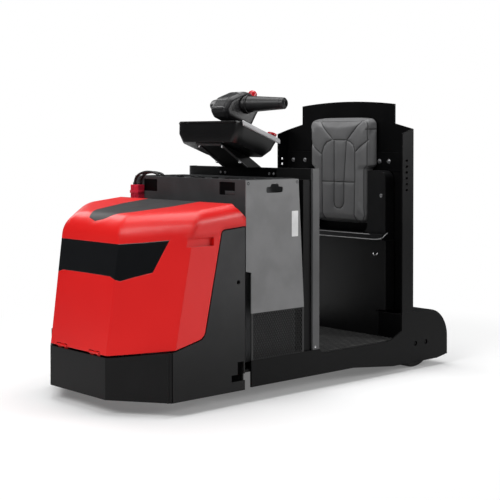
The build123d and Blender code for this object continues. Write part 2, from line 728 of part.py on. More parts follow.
def make_dash_wall():
    """The wall between battery and driver, with a flange along each side."""
    wall = block(-DASH_HALF_W, DASH_HALF_W, DASH_Y, DASH_Y + DASH_T, FLOOR_TOP, DASH_TOP)
    edge = block(DASH_HALF_W - PLATE, HALF_W - FLANGE_IN, DASH_Y, DASH_Y + DASH_T, SILL_TOP, DASH_TOP)
    edge += block(DASH_HALF_W, HALF_W - FLANGE_IN, DASH_Y, DASH_FLANGE_Y, SILL_TOP, DASH_TOP)
    return wall + edge + both(edge)


def make_side_post():
    return block(DASH_HALF_W - POST_W, DASH_HALF_W, DASH_Y - POST_D, DASH_Y, FLOOR_TOP, POST_TOP)


def hood_ring(z, inset, reach):
    """The hood's plan at one height, where nose and corners lean back with the height."""
    rise = z - LEAN_Z
    front = FRONT_Y + NOSE_LEAN * rise + inset
    corner = CORNER_Y + CORNER_LEAN * rise + inset * CORNER_SHARE
    nose = NOSE_HALF_W + NOSE_SPREAD * rise - inset * NOSE_SHARE
    side = HALF_W - inset
    points = [(-side, reach), (-side, corner), (-nose, front), (nose, front), (side, corner),
              (side, reach)]
    return Plane.XY.offset(z) * outline(points)


def hood_form(inset, low, reach):
    """The hood's form, inset by a wall: a leaning nose under a sloping, round-edged roof."""
    top = HOOD_REAR_TOP + SEAM
    rear_z = HOOD_REAR_TOP - inset
    front_y = FRONT_Y - NOSE_DEPTH
    body = loft([hood_ring(low, inset, reach), hood_ring(top, inset, reach)], ruled=True)
    roof = [(reach + SEAM, rear_z + HOOD_SLOPE * (reach + SEAM - HOOD_WING_Y)),
            (front_y, rear_z + HOOD_SLOPE * (front_y - HOOD_WING_Y)), (front_y, FAR),
            (reach + SEAM, FAR)]
    body -= side_sheet(roof, -WIDTH, WIDTH)
    edges = body.faces().sort_by(Axis.Z)[-1].edges()
    nose_edges = [edge for edge in edges
                  if edge.center().Y < WINDOW_REAR_Y and abs(edge.center().X) < PLATE_IN - inset]
    body = fillet(nose_edges, HOOD_ROUND - inset)
    # Both shoulders are rounded along the roof's slope.
    across = Plane(origin=(0, HOOD_REAR_Y, rear_z), x_dir=(1, 0, 0), z_dir=(0, -1, 0))
    across = across * Rot(degrees(atan2(HOOD_SLOPE, 1)), 0, 0)
    section = Pos(0, -WIDTH / 2) * Rectangle(2 * (HALF_W - inset), WIDTH)
    section = fillet(section.vertices().group_by(Axis.Y)[-1], SHOULDER_ROUND - inset)
    return body & extrude(across * section, amount=LENGTH / 2, both=True)


def inner_form(wall):
    return hood_form(wall, INNER_LOW, HOOD_WING_Y + INNER_REACH)


def hood_openings():
    """What the hood leaves free: its rear and lower edges, and a seam round the side plates."""
    past_y = HOOD_WING_Y + SEAM
    cut = side_sheet([(past_y, REAR_EDGE_LOW), (HOOD_REAR_Y, REAR_EDGE_HIGH), (HOOD_REAR_Y, FAR),
                      (past_y, FAR)], -WIDTH, WIDTH)
    cut += side_sheet([(FRONT_Y - NOSE_DEPTH, HOOD_LOW), (FRONT_Y + APRON_TAB / 3, HOOD_LOW),
                       (SIDE_FRONT_Y, APRON_SIDE_TOP + SEAM), (SIDE_FRONT_Y + SEAM, 0),
                       (FRONT_Y - NOSE_DEPTH, 0)], -WIDTH, WIDTH)
    plate = offset(outline(SIDE_PLATE, SIDE_PLATE_ROUNDS), SEAM, kind=Kind.INTERSECTION)
    cut += extrude(Plane.YZ.offset(-WIDTH) * plate, amount=2 * WIDTH)
    behind = [(SIDE_REAR_Y, 0), (SIDE_REAR_Y, SIDE_TOP_Z), (HOOD_WING_Y + NOSE_DEPTH, SIDE_TOP_Z + SEAM),
              (HOOD_WING_Y + NOSE_DEPTH, 0)]
    return cut + side_sheet(behind, -WIDTH, WIDTH)


def finger_recess(wall):
    """The pull recess in the hood's side, or with a wall the cup round it."""
    depth = RECESS_DEPTH + wall
    outer = HALF_W + SEAM if wall == 0 else HALF_W - HOOD_WALL / 2
    return block(HALF_W - depth, outer, RECESS_FRONT_Y - wall, RECESS_FRONT_Y + RECESS_LEN + wall,
                 RECESS_Z - wall, RECESS_Z + RECESS_H + wall)


def make_hood_shell(form, window, insert):
    shell = form - inner_form(HOOD_WALL)
    shell -= hood_openings()
    cup = finger_recess(HOOD_WALL) & form
    pull = finger_recess(0)
    shell = shell + cup + both(cup) - pull - both(pull)
    for x in (-HINGE_X, HINGE_X):
        half = 1.5 * KNUCKLE + HINGE_NOTCH
        shell -= block(x - half, x + half, FRONT_Y - SEAM, HINGE_Y + HOOD_LEAF_H, 0,
                       HINGE_Z + HINGE_R + HINGE_NOTCH)
        shell += hood_knuckle(x)
    return shell - window - insert


def hood_knuckle(x):
    """Middle knuckle of a hinge, with the leaf that holds it to the hood's inside."""
    half = KNUCKLE / 2 - KNUCKLE_GAP
    leaf_y = FRONT_Y + HOOD_WALL + HOOD_LEAF_T
    web = LEAF_T / 2
    knuckle = rod_x(HINGE_R, x - half, x + half, HINGE_Y, HINGE_Z)
    knuckle += block(x - half, x + half, HINGE_Y, leaf_y, HINGE_Z - web, HINGE_Z + web)
    knuckle += block(x - half, x + half, leaf_y - LEAF_T, leaf_y + 1, HINGE_Z - web,
                     HINGE_Z + HOOD_LEAF_H)
    return knuckle - rod_x(HINGE_PIN_R + RUN_FIT, x - WIDTH, x + WIDTH, HINGE_Y, HINGE_Z)


def make_hinge(x):
    """Pin and outer knuckles of a hinge, on a leaf inside the apron."""
    reach = 1.5 * KNUCKLE
    leaf_y = FRONT_Y + APRON_PLATE
    half = KNUCKLE / 2 - KNUCKLE_GAP
    hinge = rod_x(HINGE_PIN_R, x - reach, x + reach, HINGE_Y, HINGE_Z)
    for middle in (x - KNUCKLE, x + KNUCKLE):
        hinge += rod_x(HINGE_R, middle - half, middle + half, HINGE_Y, HINGE_Z)
        hinge += block(middle - half, middle + half, leaf_y, leaf_y + LEAF_T, HINGE_Z - LEAF_H, HINGE_Z)
    return hinge


def window_band():
    """Front view of the dark band, a wrap-round panel with slanted ends."""
    low = WINDOW_LOW
    top = WINDOW_LOW + WINDOW_H
    end = WINDOW_HALF_W
    right = [(0, low), (end - 176, low - 1), (end - 128, low - 16), (end - 88, low), (end - 36, low + 18),
             (end, top + 17), (end - 74, top + 7), (end - 146, top), (0, top)]
    points = right + [(-x, z) for x, z in right[::-1][1:-1]]
    return front_sheet(points, FRONT_Y - SEAM, WINDOW_REAR_Y)


def insert_plan():
    """Plan of the dark roof panel, a rounded point that widens to the rear."""
    half = [(0, INSERT_NOSE_Y), (INSERT_HALF_W / 3, INSERT_NOSE_Y + 12),
            (INSERT_HALF_W - 50, INSERT_NOSE_Y + 88), (INSERT_HALF_W - 4, INSERT_NOSE_Y + 250),
            (INSERT_HALF_W, HOOD_REAR_Y)]
    points = half + [(-x, y) for x, y in half[::-1][:-1]]
    rounds = {1: INSERT_HALF_W / 3, 2: INSERT_HALF_W / 2, 6: INSERT_HALF_W / 2, 7: INSERT_HALF_W / 3}
    return plan_sheet(points, BULKHEAD_TOP, FAR, rounds)


# Console frame: origin at the middle of the tilted top, x across, z out of the top.
CONSOLE = Plane(origin=CONSOLE_MID, x_dir=(1, 0, 0), z_dir=(0, sin(CONSOLE_TILT), cos(CONSOLE_TILT)))


def console_ring(half_w, length, depth, corner):
    sketch = fillet(Rectangle(2 * half_w, length).vertices(), corner)
    return CONSOLE.offset(-depth) * sketch


def on_console(x, y, z):
    """A place given across, down and out of the console's top."""
    return CONSOLE.location * Pos(x, y, z)


def console_rod(radius, z0, z1, x, y):
    return on_console(x, y, (z0 + z1) / 2) * Cylinder(radius, z1 - z0)


def make_console_body():
    """The tray under the rim: near-straight walls, then a strong taper to its floor."""
    lip_w = CONSOLE_HALF_W - RIM_LIP
    lip_len = CONSOLE_LEN - 2 * RIM_LIP
    lip = console_ring(lip_w, lip_len, CONSOLE_RIM, CONSOLE_CORNER)
    waist = console_ring(lip_w - CONSOLE_TAPER, lip_len - 2 * CONSOLE_TAPER, CONSOLE_WAIST, CONSOLE_CORNER)
    floor = console_ring(CONSOLE_LOW_HALF_W, CONSOLE_LOW_LEN, CONSOLE_DEPTH, CONSOLE_CORNER)
    return loft([waist, lip], ruled=True) + loft([floor, waist], ruled=True)


def make_console_top():
    rim = console_ring(CONSOLE_HALF_W, CONSOLE_LEN, CONSOLE_RIM, CONSOLE_CORNER + RIM_LIP)
    return extrude(rim, amount=CONSOLE_RIM, dir=tuple(CONSOLE.z_dir))


def make_bracket():
    """The folded arm under the console, bolted to the dash wall's front by its foot."""
    front = on_console(0, BRACKET_IN - CONSOLE_LOW_LEN / 2, -CONSOLE_DEPTH).position
    rear = on_console(0, CONSOLE_LOW_LEN / 2 - BRACKET_IN, -CONSOLE_DEPTH).position
    foot_y = DASH_Y - BRACKET_FOOT_D
    arm = side_sheet([(front.Y, front.Z), (rear.Y, rear.Z), (DASH_Y + DASH_T, DASH_TOP),
                      (foot_y, DASH_TOP)], -BRACKET_HALF_W, BRACKET_HALF_W)
    wall = 2 * BRACKET_T
    hollow = side_sheet([(front.Y + 5 * wall, front.Z - 2.5 * wall), (rear.Y - wall, rear.Z - wall),
                         (DASH_Y - wall / 2, DASH_TOP + wall), (foot_y + wall, DASH_TOP + wall)],
                        BRACKET_T - BRACKET_HALF_W, BRACKET_HALF_W - BRACKET_T)
    foot = block(-FOOT_HALF_W, FOOT_HALF_W, DASH_Y - BRACKET_T, DASH_Y, DASH_TOP - FOOT_H, DASH_TOP)
    return arm - hollow + foot


def make_stop_button():
    y = CONSOLE_LEN / 2 - BUTTON_IN
    button = console_rod(BUTTON_R * 0.6, 0, BUTTON_STALK, BUTTON_X, y)
    return button + console_rod(BUTTON_R, BUTTON_STALK, BUTTON_STALK + BUTTON_H, BUTTON_X, y)


def make_steering_neck():
    """The flared foot of the handle, with the round spigot that the pod turns on."""
    middle = Pos(0, HANDLE_FOOT_Y)
    foot = middle * Rectangle(2 * (NECK_HALF_W + NECK_FLARE), NECK_LEN + NECK_FLARE)
    head = middle * Rectangle(2 * NECK_HALF_W, NECK_LEN)
    neck = loft([CONSOLE.offset(SEAT) * foot, CONSOLE.offset(NECK_H) * head], ruled=True)
    return neck + console_rod(SPIGOT_R, NECK_H, NECK_H + SPIGOT_H, 0, HANDLE_FOOT_Y)


def make_grip(slack):
    """A tapered grip, swept back to the driver, or with slack the socket for it."""
    root = on_console(*GRIP_ROOT).position
    tip = on_console(*GRIP_TIP).position
    length = (tip - root).length
    grip = Cone(GRIP_ROOT_R + slack, GRIP_TIP_R + slack, length + 2 * slack)
    if slack == 0:
        grip = chamfer(grip.edges().filter_by(GeomType.CIRCLE).sort_by(Axis.Z)[-1], GRIP_EDGE)
    return Plane(origin=(root + tip) / 2, z_dir=tip - root) * grip


def dome_rod(radius, low, high):
    return console_rod(radius, low, high, DOME_X, DOME_Y)


def make_handle_pod():
    """The pod between the grips: a rounded profile with bevelled sides."""
    foot = NECK_H + SEAT
    profile = [(-20, foot), (82, foot), (96, 108), (112, 165), (76, 192), (-6, 180),
               (-72, 124), (-90, 64), (-58, foot)]
    rounds = {3: 22, 4: 18, 5: 60, 6: 40, 7: 22}
    side = Plane(origin=CONSOLE_MID, x_dir=tuple(CONSOLE.y_dir), z_dir=(1, 0, 0))
    pod = extrude(side * outline(profile, rounds), amount=POD_HALF_W, both=True)
    ends = pod.edges().group_by(Axis.X)
    pod = chamfer(ends[0] + ends[-1], POD_EDGE)
    pod -= console_rod(SPIGOT_R + RUN_FIT, 0, NECK_H + SPIGOT_H + SEAT, 0, HANDLE_FOOT_Y)
    socket = make_grip(GRIP_SLACK)
    return pod - socket - both(socket) - dome_rod(DOME_R + GRIP_SLACK, DOME_Z - GRIP_SLACK, FAR)


def make_thumb_dome():
    dome = Cylinder(DOME_R, DOME_H)
    dome = chamfer(dome.edges().sort_by(Axis.Z)[-1], DOME_EDGE)
    return on_console(DOME_X, DOME_Y, DOME_Z + DOME_H / 2) * dome


def make_plug():
    rear = BATTERY_FRONT_Y - SEAT
    return block(PLUG_X - PLUG_W / 2, PLUG_X + PLUG_W / 2, rear - PLUG_D, rear, PLUG_LOW, PLUG_LOW + PLUG_H)


def arc_radii(points):
    """The largest comfortable bend at each inner corner of a cable's route."""
    radii = []
    for before, corner, after in zip(points, points[1:], points[2:]):
        run_in = Vector(*corner) - Vector(*before)
        run_out = Vector(*after) - Vector(*corner)
        half_turn = radians(run_in.get_angle(run_out)) / 2
        radii.append(BEND_SHARE * min(run_in.length, run_out.length) / tan(half_turn))
    return radii


def make_plug_leads():
    """Two battery leads, from the plug over the tray's rim and down to the cells."""
    plug_top = PLUG_LOW + PLUG_H
    cell_top = BATTERY_TOP - CELL_DROP + CELL_H
    plug_y = BATTERY_FRONT_Y - PLUG_D / 2
    routes = (
        [(PLUG_X - 11, plug_y - 6, plug_top), (PLUG_X - 11, plug_y - 6, 862), (-290, -338, 886),
         (-250, -320, 886), (-220, -308, 876), (-220, -308, cell_top)],
        [(PLUG_X + 9, plug_y + 6, plug_top), (PLUG_X + 9, plug_y + 6, 860), (-276, -327, 884),
         (-240, -305, 884), (-206, -290, 875), (-206, -290, cell_top)],
    )
    leads = []
    for route in routes:
        path = FilletPolyline(*route, radius=arc_radii(route))
        start = Plane(origin=route[0], z_dir=Vector(*route[1]) - Vector(*route[0]))
        leads.append(sweep(start * RegularPolygon(LEAD_R, LEAD_SIDES), path=path))
    return Compound(leads)


def save(name, solid):
    solid.label = name
    export_step(solid, os.path.join("parts", name + ".step"))


def main():
    os.makedirs("parts", exist_ok=True)
    side_plate = make_side_plate()
    sill = make_sill()
    post = make_side_post()
    grille = make_grille()
    rear_hub = make_rear_hub()
    rear_tyre = make_tyre(REAR_R, REAR_RIM_R, REAR_W, REAR_OUT_X - REAR_W / 2, REAR_WHEEL_Y)
    grip = make_grip(0)
    save("apron_front", make_apron())
    save("side_plate_left", side_plate)
    save("side_plate_right", both(side_plate))
    save("sill_left", sill)
    save("sill_right", both(sill))
    save("side_posts", Compound([post, both(post)]))
    save("chassis_floor", make_floor())
    save("drive_deck", make_drive_deck())
    save("drive_yoke", make_drive_yoke())
    save("drive_motor", make_drive_motor())
    save("drive_hub", make_drive_hub())
    save("drive_tyre", make_tyre(DRIVE_R, DRIVE_RIM_R, DRIVE_W, 0, DRIVE_Y))
    save("rear_hub_left", rear_hub)
    save("rear_hub_right", both(rear_hub))
    save("rear_tyre_left", rear_tyre)
    save("rear_tyre_right", both(rear_tyre))
    save("rear_axle", make_rear_axle())
    save("rear_frame", make_rear_frame())
    save("rear_cover", make_rear_cover())
    save("tow_coupling", make_tow_coupling())
    save("tow_pin", make_tow_pin())
    save("dash_wall", make_dash_wall())
    save("platform_mat", make_mat())
    save("battery", make_battery())
    save("battery_plug", make_plug())
    save("plug_leads", make_plug_leads())
    save("battery_panel_left", make_panel("left"))
    save("battery_panel_right", make_panel("right"))
    save("vent_grille_left", grille)
    save("vent_grille_right", both(grille))
    save("backrest_plate", make_backrest_plate())
    save("cushion_strap", make_strap())
    save("backrest_cushion", make_cushion())
    save("hip_shell", make_hip_shell())
    save("rear_box", make_rear_box())
    form = hood_form(0, LEAN_Z, HOOD_WING_Y)
    window = (form - inner_form(WINDOW_T)) & window_band()
    insert = (form - inner_form(INSERT_T)) & insert_plan()
    save("hood_window", window)
    save("hood_roof_panel", insert)
    save("hood_shell", make_hood_shell(form, window, insert))
    save("hood_hinges", Compound([make_hinge(HINGE_X), make_hinge(-HINGE_X)]))
    save("console_bracket", make_bracket())
    save("console_body", make_console_body())
    save("console_top", make_console_top())
    save("stop_button", make_stop_button())
    save("steering_neck", make_steering_neck())
    save("handle_pod", make_handle_pod())
    save("handle_grips", Compound([grip, both(grip)]))
    save("thumb_dome", make_thumb_dome())


if __name__ == "__main__":
    main()
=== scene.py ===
import json
from math import cos, exp, pi, radians, sin

import bmesh
import bpy
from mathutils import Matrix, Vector


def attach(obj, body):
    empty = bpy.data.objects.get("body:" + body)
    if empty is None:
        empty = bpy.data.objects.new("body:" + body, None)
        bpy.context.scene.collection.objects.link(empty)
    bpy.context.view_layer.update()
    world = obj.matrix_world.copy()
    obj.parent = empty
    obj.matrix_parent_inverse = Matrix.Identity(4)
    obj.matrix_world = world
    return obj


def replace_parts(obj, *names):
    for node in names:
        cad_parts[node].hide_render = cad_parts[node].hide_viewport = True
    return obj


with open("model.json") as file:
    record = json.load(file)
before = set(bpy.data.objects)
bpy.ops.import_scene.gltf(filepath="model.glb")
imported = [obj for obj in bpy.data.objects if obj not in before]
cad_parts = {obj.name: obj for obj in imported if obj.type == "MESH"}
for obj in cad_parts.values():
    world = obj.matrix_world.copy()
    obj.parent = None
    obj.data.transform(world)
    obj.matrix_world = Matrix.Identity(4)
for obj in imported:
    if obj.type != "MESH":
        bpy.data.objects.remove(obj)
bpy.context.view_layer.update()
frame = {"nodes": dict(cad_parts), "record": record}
nodes = frame["nodes"]

UP = (0, 0, 1)
FRONT = (0, -1, 0)
SIDES = ((1, "left"), (-1, "right"))


# Shader maths

class Number:
    """A shader socket that can be used in Python expressions."""

    def __init__(self, finish, socket):
        self.finish = finish
        self.socket = socket

    def combine(self, operation, first, second=0.0):
        node = self.finish.add("ShaderNodeMath", {"operation": operation}, {0: first, 1: second})
        return Number(self.finish, node.outputs[0])

    def __add__(self, other):
        return self.combine("ADD", self, other)

    def __radd__(self, other):
        return self.combine("ADD", other, self)

    def __mul__(self, other):
        return self.combine("MULTIPLY", self, other)

    def __rmul__(self, other):
        return self.combine("MULTIPLY", other, self)

    def __pow__(self, other):
        return self.combine("POWER", self, other)

    def size(self):
        """The number without its sign."""
        return self.combine("ABSOLUTE", self)

    def step(self, low, high):
        """0 below low, 1 above high, smooth between."""
        node = self.finish.add("ShaderNodeMapRange", {"interpolation_type": "SMOOTHSTEP"},
                               {"Value": self, "From Min": low, "From Max": high})
        return Number(self.finish, node.outputs["Result"])


def shade(colour, factor):
    return tuple(min(1.0, part * factor) for part in colour)


# The Mix node's two inputs and its output for each kind of value
MIX_SOCKETS = {"RGBA": (6, 7, 2), "VECTOR": (4, 5, 1)}


class Finish:
    """A material built from nodes, ending in one principled shader."""

    def __init__(self, name):
        self.material = bpy.data.materials.new(name)
        self.material.use_nodes = True
        self.tree = self.material.node_tree
        self.tree.nodes.clear()
        self.output = self.tree.nodes.new("ShaderNodeOutputMaterial")
        self.shader = self.tree.nodes.new("ShaderNodeBsdfPrincipled")
        self.tree.links.new(self.shader.outputs[0], self.output.inputs[0])
        self.place = self.add("ShaderNodeTexCoord").outputs["Object"]

    def set(self, node, key, value):
        socket = node.inputs[key]
        if isinstance(value, Number):
            value = value.socket
        if isinstance(value, bpy.types.NodeSocket):
            self.tree.links.new(value, socket)
        elif isinstance(value, tuple) and len(value) == 3 and socket.type == "RGBA":
            socket.default_value = (*value, 1.0)
        else:
            socket.default_value = value

    def add(self, kind, settings=None, sockets=None):
        """A node of this kind with its settings, then its sockets' values or links."""
        node = self.tree.nodes.new(kind)
        for key, value in (settings or {}).items():
            setattr(node, key, value)
        for key, value in (sockets or {}).items():
            self.set(node, key, value)
        return node

    def put(self, **sockets):
        """Values or links on the shader, named as its sockets with _ for a space."""
        for key, value in sockets.items():
            self.set(self.shader, key.replace("_", " "), value)

    def noise(self, scale, detail=3.0, place=None):
        node = self.add("ShaderNodeTexNoise", {}, {
            "Vector": place or self.place, "Scale": scale, "Detail": detail})
        return Number(self, node.outputs[0])

    def pebbles(self, scale):
        """Small soft-edged cells, as on grained plastic."""
        node = self.add("ShaderNodeTexVoronoi", {"feature": "SMOOTH_F1"},
                        {"Vector": self.place, "Scale": scale})
        return Number(self, node.outputs["Distance"])

    def axes(self):
        node = self.add("ShaderNodeSeparateXYZ", {}, {0: self.place})
        return [Number(self, node.outputs[i]) for i in range(3)]

    def mix(self, kind, mask, first, second):
        first_socket, second_socket, output = MIX_SOCKETS[kind]
        node = self.add("ShaderNodeMix", {"data_type": kind},
                        {0: mask, first_socket: first, second_socket: second})
        return node.outputs[output]

    def blend(self, mask, first, second):
        """first where mask is 0 and second where it is 1, both colours."""
        return self.mix("RGBA", mask, first, second)

    def tones(self, mask, colour, spread):
        """One colour, darker where mask is 0 and lighter where it is 1."""
        return self.blend(mask, shade(colour, 1.0 - spread), shade(colour, 1.0 + spread))

    def relief(self, height, depth, strength=1.0, under=None):
        """Bumps of this height, over the normal under if there is one."""
        node = self.add("ShaderNodeBump", {}, {"Height": height, "Distance": depth,
                                               "Strength": strength})
        if under:
            self.set(node, "Normal", under)
        self.put(Normal=node.outputs[0])


# Finishes

ACROSS, UPWARD = 0, 2
HOOD_CROWN_Z = (0.640, 0.670)
MAT_RIB_Z = (0.1425, 0.1446)


def powder_coat(name, colour, gloss, shine=0.3, grain=1.0):
    """Powder-coated steel: a fine orange peel, faint mottling and rubbed dust."""
    coat = Finish(name)
    mottle = coat.noise(9.0, 4.0)
    speck = coat.noise(420.0, 2.0)
    coat.put(Base_Color=coat.tones(mottle.step(0.35, 0.7), colour, 0.12),
             Roughness=gloss + 0.1 * mottle + 0.05 * speck, Specular_IOR_Level=shine)
    coat.relief(coat.noise(700.0, 2.0), 0.0002 * grain, 0.35)
    return coat.material


def banded_coat(name, axis, low, high, under, over, gloss=0.36, shine=0.45):
    """Powder coat that goes from one colour to another between two places on an axis."""
    coat = Finish(name)
    across = coat.axes()[axis].size()
    mottle = coat.noise(9.0, 4.0)
    patches = mottle.step(0.35, 0.7)
    coat.put(Base_Color=coat.blend(across.step(low, high), coat.tones(patches, under, 0.10),
                                   coat.tones(patches, over, 0.10)),
             Roughness=gloss + 0.1 * mottle, Specular_IOR_Level=shine)
    coat.relief(coat.noise(700.0, 2.0), 0.0002, 0.35)
    return coat.material


def moulded(name, colour, gloss, grain=1500.0):
    """Moulded plastic with a fine leather-like grain."""
    plastic = Finish(name)
    cloud = plastic.noise(14.0, 3.0)
    plastic.put(Base_Color=plastic.tones(cloud.step(0.3, 0.75), colour, 0.10),
                Roughness=gloss + 0.12 * cloud, Specular_IOR_Level=0.4)
    plastic.relief(plastic.pebbles(grain), 0.00015, 0.5)
    return plastic.material


def hood_paint():
    """The red moulded shell: a soft gloss, and a crown that turns over in a wide curve."""
    paint = Finish("hood_red")
    cloud = paint.noise(2.2, 2.0)
    peel = paint.noise(260.0, 2.0)
    red = paint.blend(cloud.step(0.3, 0.75), (0.72, 0.006, 0.006), (0.78, 0.010, 0.008))
    paint.put(Base_Color=red, Roughness=0.34 + 0.08 * cloud, Coat_Weight=0.10,
              Coat_Roughness=0.10, Specular_IOR_Level=0.35)
    height = paint.axes()[UPWARD]
    crown = paint.add("ShaderNodeBevel", {"samples": 6}, {"Radius": 0.030})
    edge = paint.add("ShaderNodeBevel", {"samples": 4}, {"Radius": 0.004})
    turn = paint.mix("VECTOR", height.step(*HOOD_CROWN_Z), edge.outputs[0], crown.outputs[0])
    paint.relief(peel, 0.00025, 0.25, turn)
    return paint.material


def dark_window():
    glass = Finish("window_black")
    cloud = glass.noise(5.0, 2.0)
    glass.put(Base_Color=glass.blend(cloud, (0.0030, 0.0034, 0.0042), (0.0050, 0.0056, 0.0066)),
              Roughness=0.16 + 0.06 * cloud, Coat_Weight=0.2, Specular_IOR_Level=0.35)
    glass.relief(glass.noise(120.0, 2.0), 0.0001, 0.15)
    return glass.material


def bare_steel():
    steel = Finish("bare_steel")
    along = steel.add("ShaderNodeMapping", {},
                      {"Vector": steel.place, "Scale": (900.0, 900.0, 30.0)})
    lines = steel.noise(1.0, 3.0, along.outputs[0])
    steel.put(Base_Color=steel.blend(lines, (0.42, 0.42, 0.43), (0.62, 0.62, 0.63)),
              Metallic=1.0, Roughness=0.24 + 0.18 * lines)
    steel.relief(lines, 0.0001, 0.3)
    return steel.material


def tyre_rubber():
    rubber = Finish("tyre_black")
    grime = rubber.noise(40.0, 5.0)
    rubber.put(Base_Color=rubber.blend(grime.step(0.4, 0.75), (0.008, 0.008, 0.008),
                                       (0.024, 0.023, 0.022)),
               Roughness=0.72 + 0.15 * grime)
    rubber.relief(rubber.noise(600.0, 3.0), 0.0004, 0.5)
    return rubber.material


def ribbed_mat():
    """Black rubber, its rib tops painted lighter as highlight and dust, its grooves painted near
    black as shade.
    """
    rubber = Finish("mat_black")
    dust = rubber.noise(26.0, 5.0)
    height = rubber.axes()[UPWARD]
    # Rib tops: a dust-mottled grey, a painted highlight on top of real dust; the grooves below
    # them are painted near black, a painted shade.
    lit_rib_tops_and_dust = rubber.blend(dust.step(0.35, 0.8), (0.030, 0.030, 0.030), (0.055, 0.055, 0.054))
    rubber.put(Base_Color=rubber.blend(height.step(*MAT_RIB_Z), (0.0015, 0.0015, 0.0015), lit_rib_tops_and_dust),
               Roughness=0.55 + 0.2 * dust, Specular_IOR_Level=0.12)
    rubber.relief(rubber.noise(800.0, 2.0), 0.0003, 0.5)
    return rubber.material


def coated_fabric():
    """Grained seat fabric, with painted shade, near black, where the cushion's seam attribute is.
    """
    vinyl = Finish("cushion_black")
    cloud = vinyl.noise(12.0, 3.0)
    seam = vinyl.add("ShaderNodeAttribute", {"attribute_name": "seam"})
    hide = vinyl.blend(cloud, (0.100, 0.100, 0.102), (0.145, 0.145, 0.147))
    # Near black along the seams: painted shade in the sewn creases.
    vinyl.put(Base_Color=vinyl.blend(seam.outputs["Fac"], hide, (0.006, 0.006, 0.006)),
              Roughness=0.40 + 0.14 * cloud)
    vinyl.relief(vinyl.pebbles(900.0), 0.0003, 0.6)
    return vinyl.material


def cast_iron():
    iron = Finish("motor_black")
    lumps = iron.noise(90.0, 4.0)
    iron.put(Base_Color=iron.blend(lumps, (0.022, 0.022, 0.024), (0.040, 0.040, 0.042)),
             Roughness=0.6 + 0.2 * lumps, Metallic=0.3)
    iron.relief(lumps, 0.0008, 0.5)
    return iron.material


# Colour, gloss and shine of each powder coat, and colour, gloss and grain of each moulding
POWDER_COATS = {
    "skirt_black": ((0.0060, 0.0060, 0.0063), 0.40, 0.18),
    "plate_grey": ((0.0090, 0.0090, 0.0094), 0.26, 0.36),
    "panel_grey": ((0.150, 0.150, 0.152), 0.36, 0.5),
    "frame_black": ((0.0014, 0.0014, 0.0016), 0.34, 0.12),
    "grille_black": ((0.006, 0.006, 0.006), 0.5),
    "hub_grey": ((0.085, 0.085, 0.088), 0.4),
    "battery_grey": ((0.050, 0.051, 0.053), 0.42),
}
MOULDINGS = {
    "roof_black": ((0.012, 0.012, 0.013), 0.45),
    "plug_red": ((0.60, 0.018, 0.05), 0.38),
    "lead_black": ((0.008, 0.008, 0.008), 0.42, 900.0),
    "console_black": ((0.0028, 0.0028, 0.0031), 0.24),
    "console_rim": ((0.42, 0.42, 0.43), 0.42),
    "handle_black": ((0.011, 0.011, 0.012), 0.32),
    "control_red": ((0.52, 0.010, 0.018), 0.22),
    "shell_black": ((0.0042, 0.0042, 0.0046), 0.30),
}
FINISHES = {
    "hood_red": hood_paint(),
    "window_black": dark_window(),
    "tyre_black": tyre_rubber(),
    "bare_steel": bare_steel(),
    "cushion_black": coated_fabric(),
    "mat_black": ribbed_mat(),
    "motor_black": cast_iron(),
}
for slot, look in POWDER_COATS.items():
    FINISHES[slot] = powder_coat(slot, *look)
for slot, look in MOULDINGS.items():
    FINISHES[slot] = moulded(slot, *look)


# Modelling helpers

MERGE_DISTANCE = 0.00002
FLAT_ANGLE = radians(0.4)


def only(*pieces):
    """Selects these pieces and nothing else, the first one active."""
    for obj in bpy.context.selected_objects:
        obj.select_set(False)
    for piece in pieces:
        piece.select_set(True)
    if pieces:
        bpy.context.view_layer.objects.active = pieces[0]


def new_object(name, data):
    obj = bpy.data.objects.new(name, data)
    bpy.context.scene.collection.objects.link(obj)
    return obj


def settle(piece, name=None):
    """Puts a piece's place, turn and scale into its mesh."""
    only(piece)
    bpy.ops.object.transform_apply(location=True, rotation=True, scale=True)
    if name:
        piece.name = name
    return piece


def facing(way):
    return Vector(way).to_track_quat("Z", "Y").to_euler()


def put_at(piece, place, way=None):
    """Moves a piece modelled at the origin to its place, its Z axis facing a way."""
    piece.location = place
    if way is not None:
        piece.rotation_euler = facing(way)
    return settle(piece)


def block(name, low, high):
    """A block between two corners."""
    low, high = Vector(low), Vector(high)
    only()
    bpy.ops.mesh.primitive_cube_add(size=1.0, location=(low + high) / 2, scale=high - low)
    return settle(bpy.context.object, name)


def disc(name, radius, low, high, sides):
    """A round blank on the Z axis."""
    only()
    bpy.ops.mesh.primitive_cylinder_add(vertices=sides, radius=radius, depth=high - low,
                                        location=(0, 0, (low + high) / 2))
    return settle(bpy.context.object, name)


def plate(name, points, rise):
    """A flat blank with this outline, drawn out along rise."""
    only()
    bpy.ops.mesh.primitive_circle_add(vertices=len(points), fill_type="NGON")
    piece = settle(bpy.context.object, name)
    for vertex, point in zip(piece.data.vertices, points):
        vertex.co = point
    bpy.ops.object.mode_set(mode="EDIT")
    bpy.ops.mesh.select_all(action="SELECT")
    bpy.ops.mesh.extrude_region_move(TRANSFORM_OT_translate={"value": rise})
    bpy.ops.mesh.select_all(action="SELECT")
    bpy.ops.mesh.normals_make_consistent(inside=False)
    bpy.ops.object.mode_set(mode="OBJECT")
    return piece


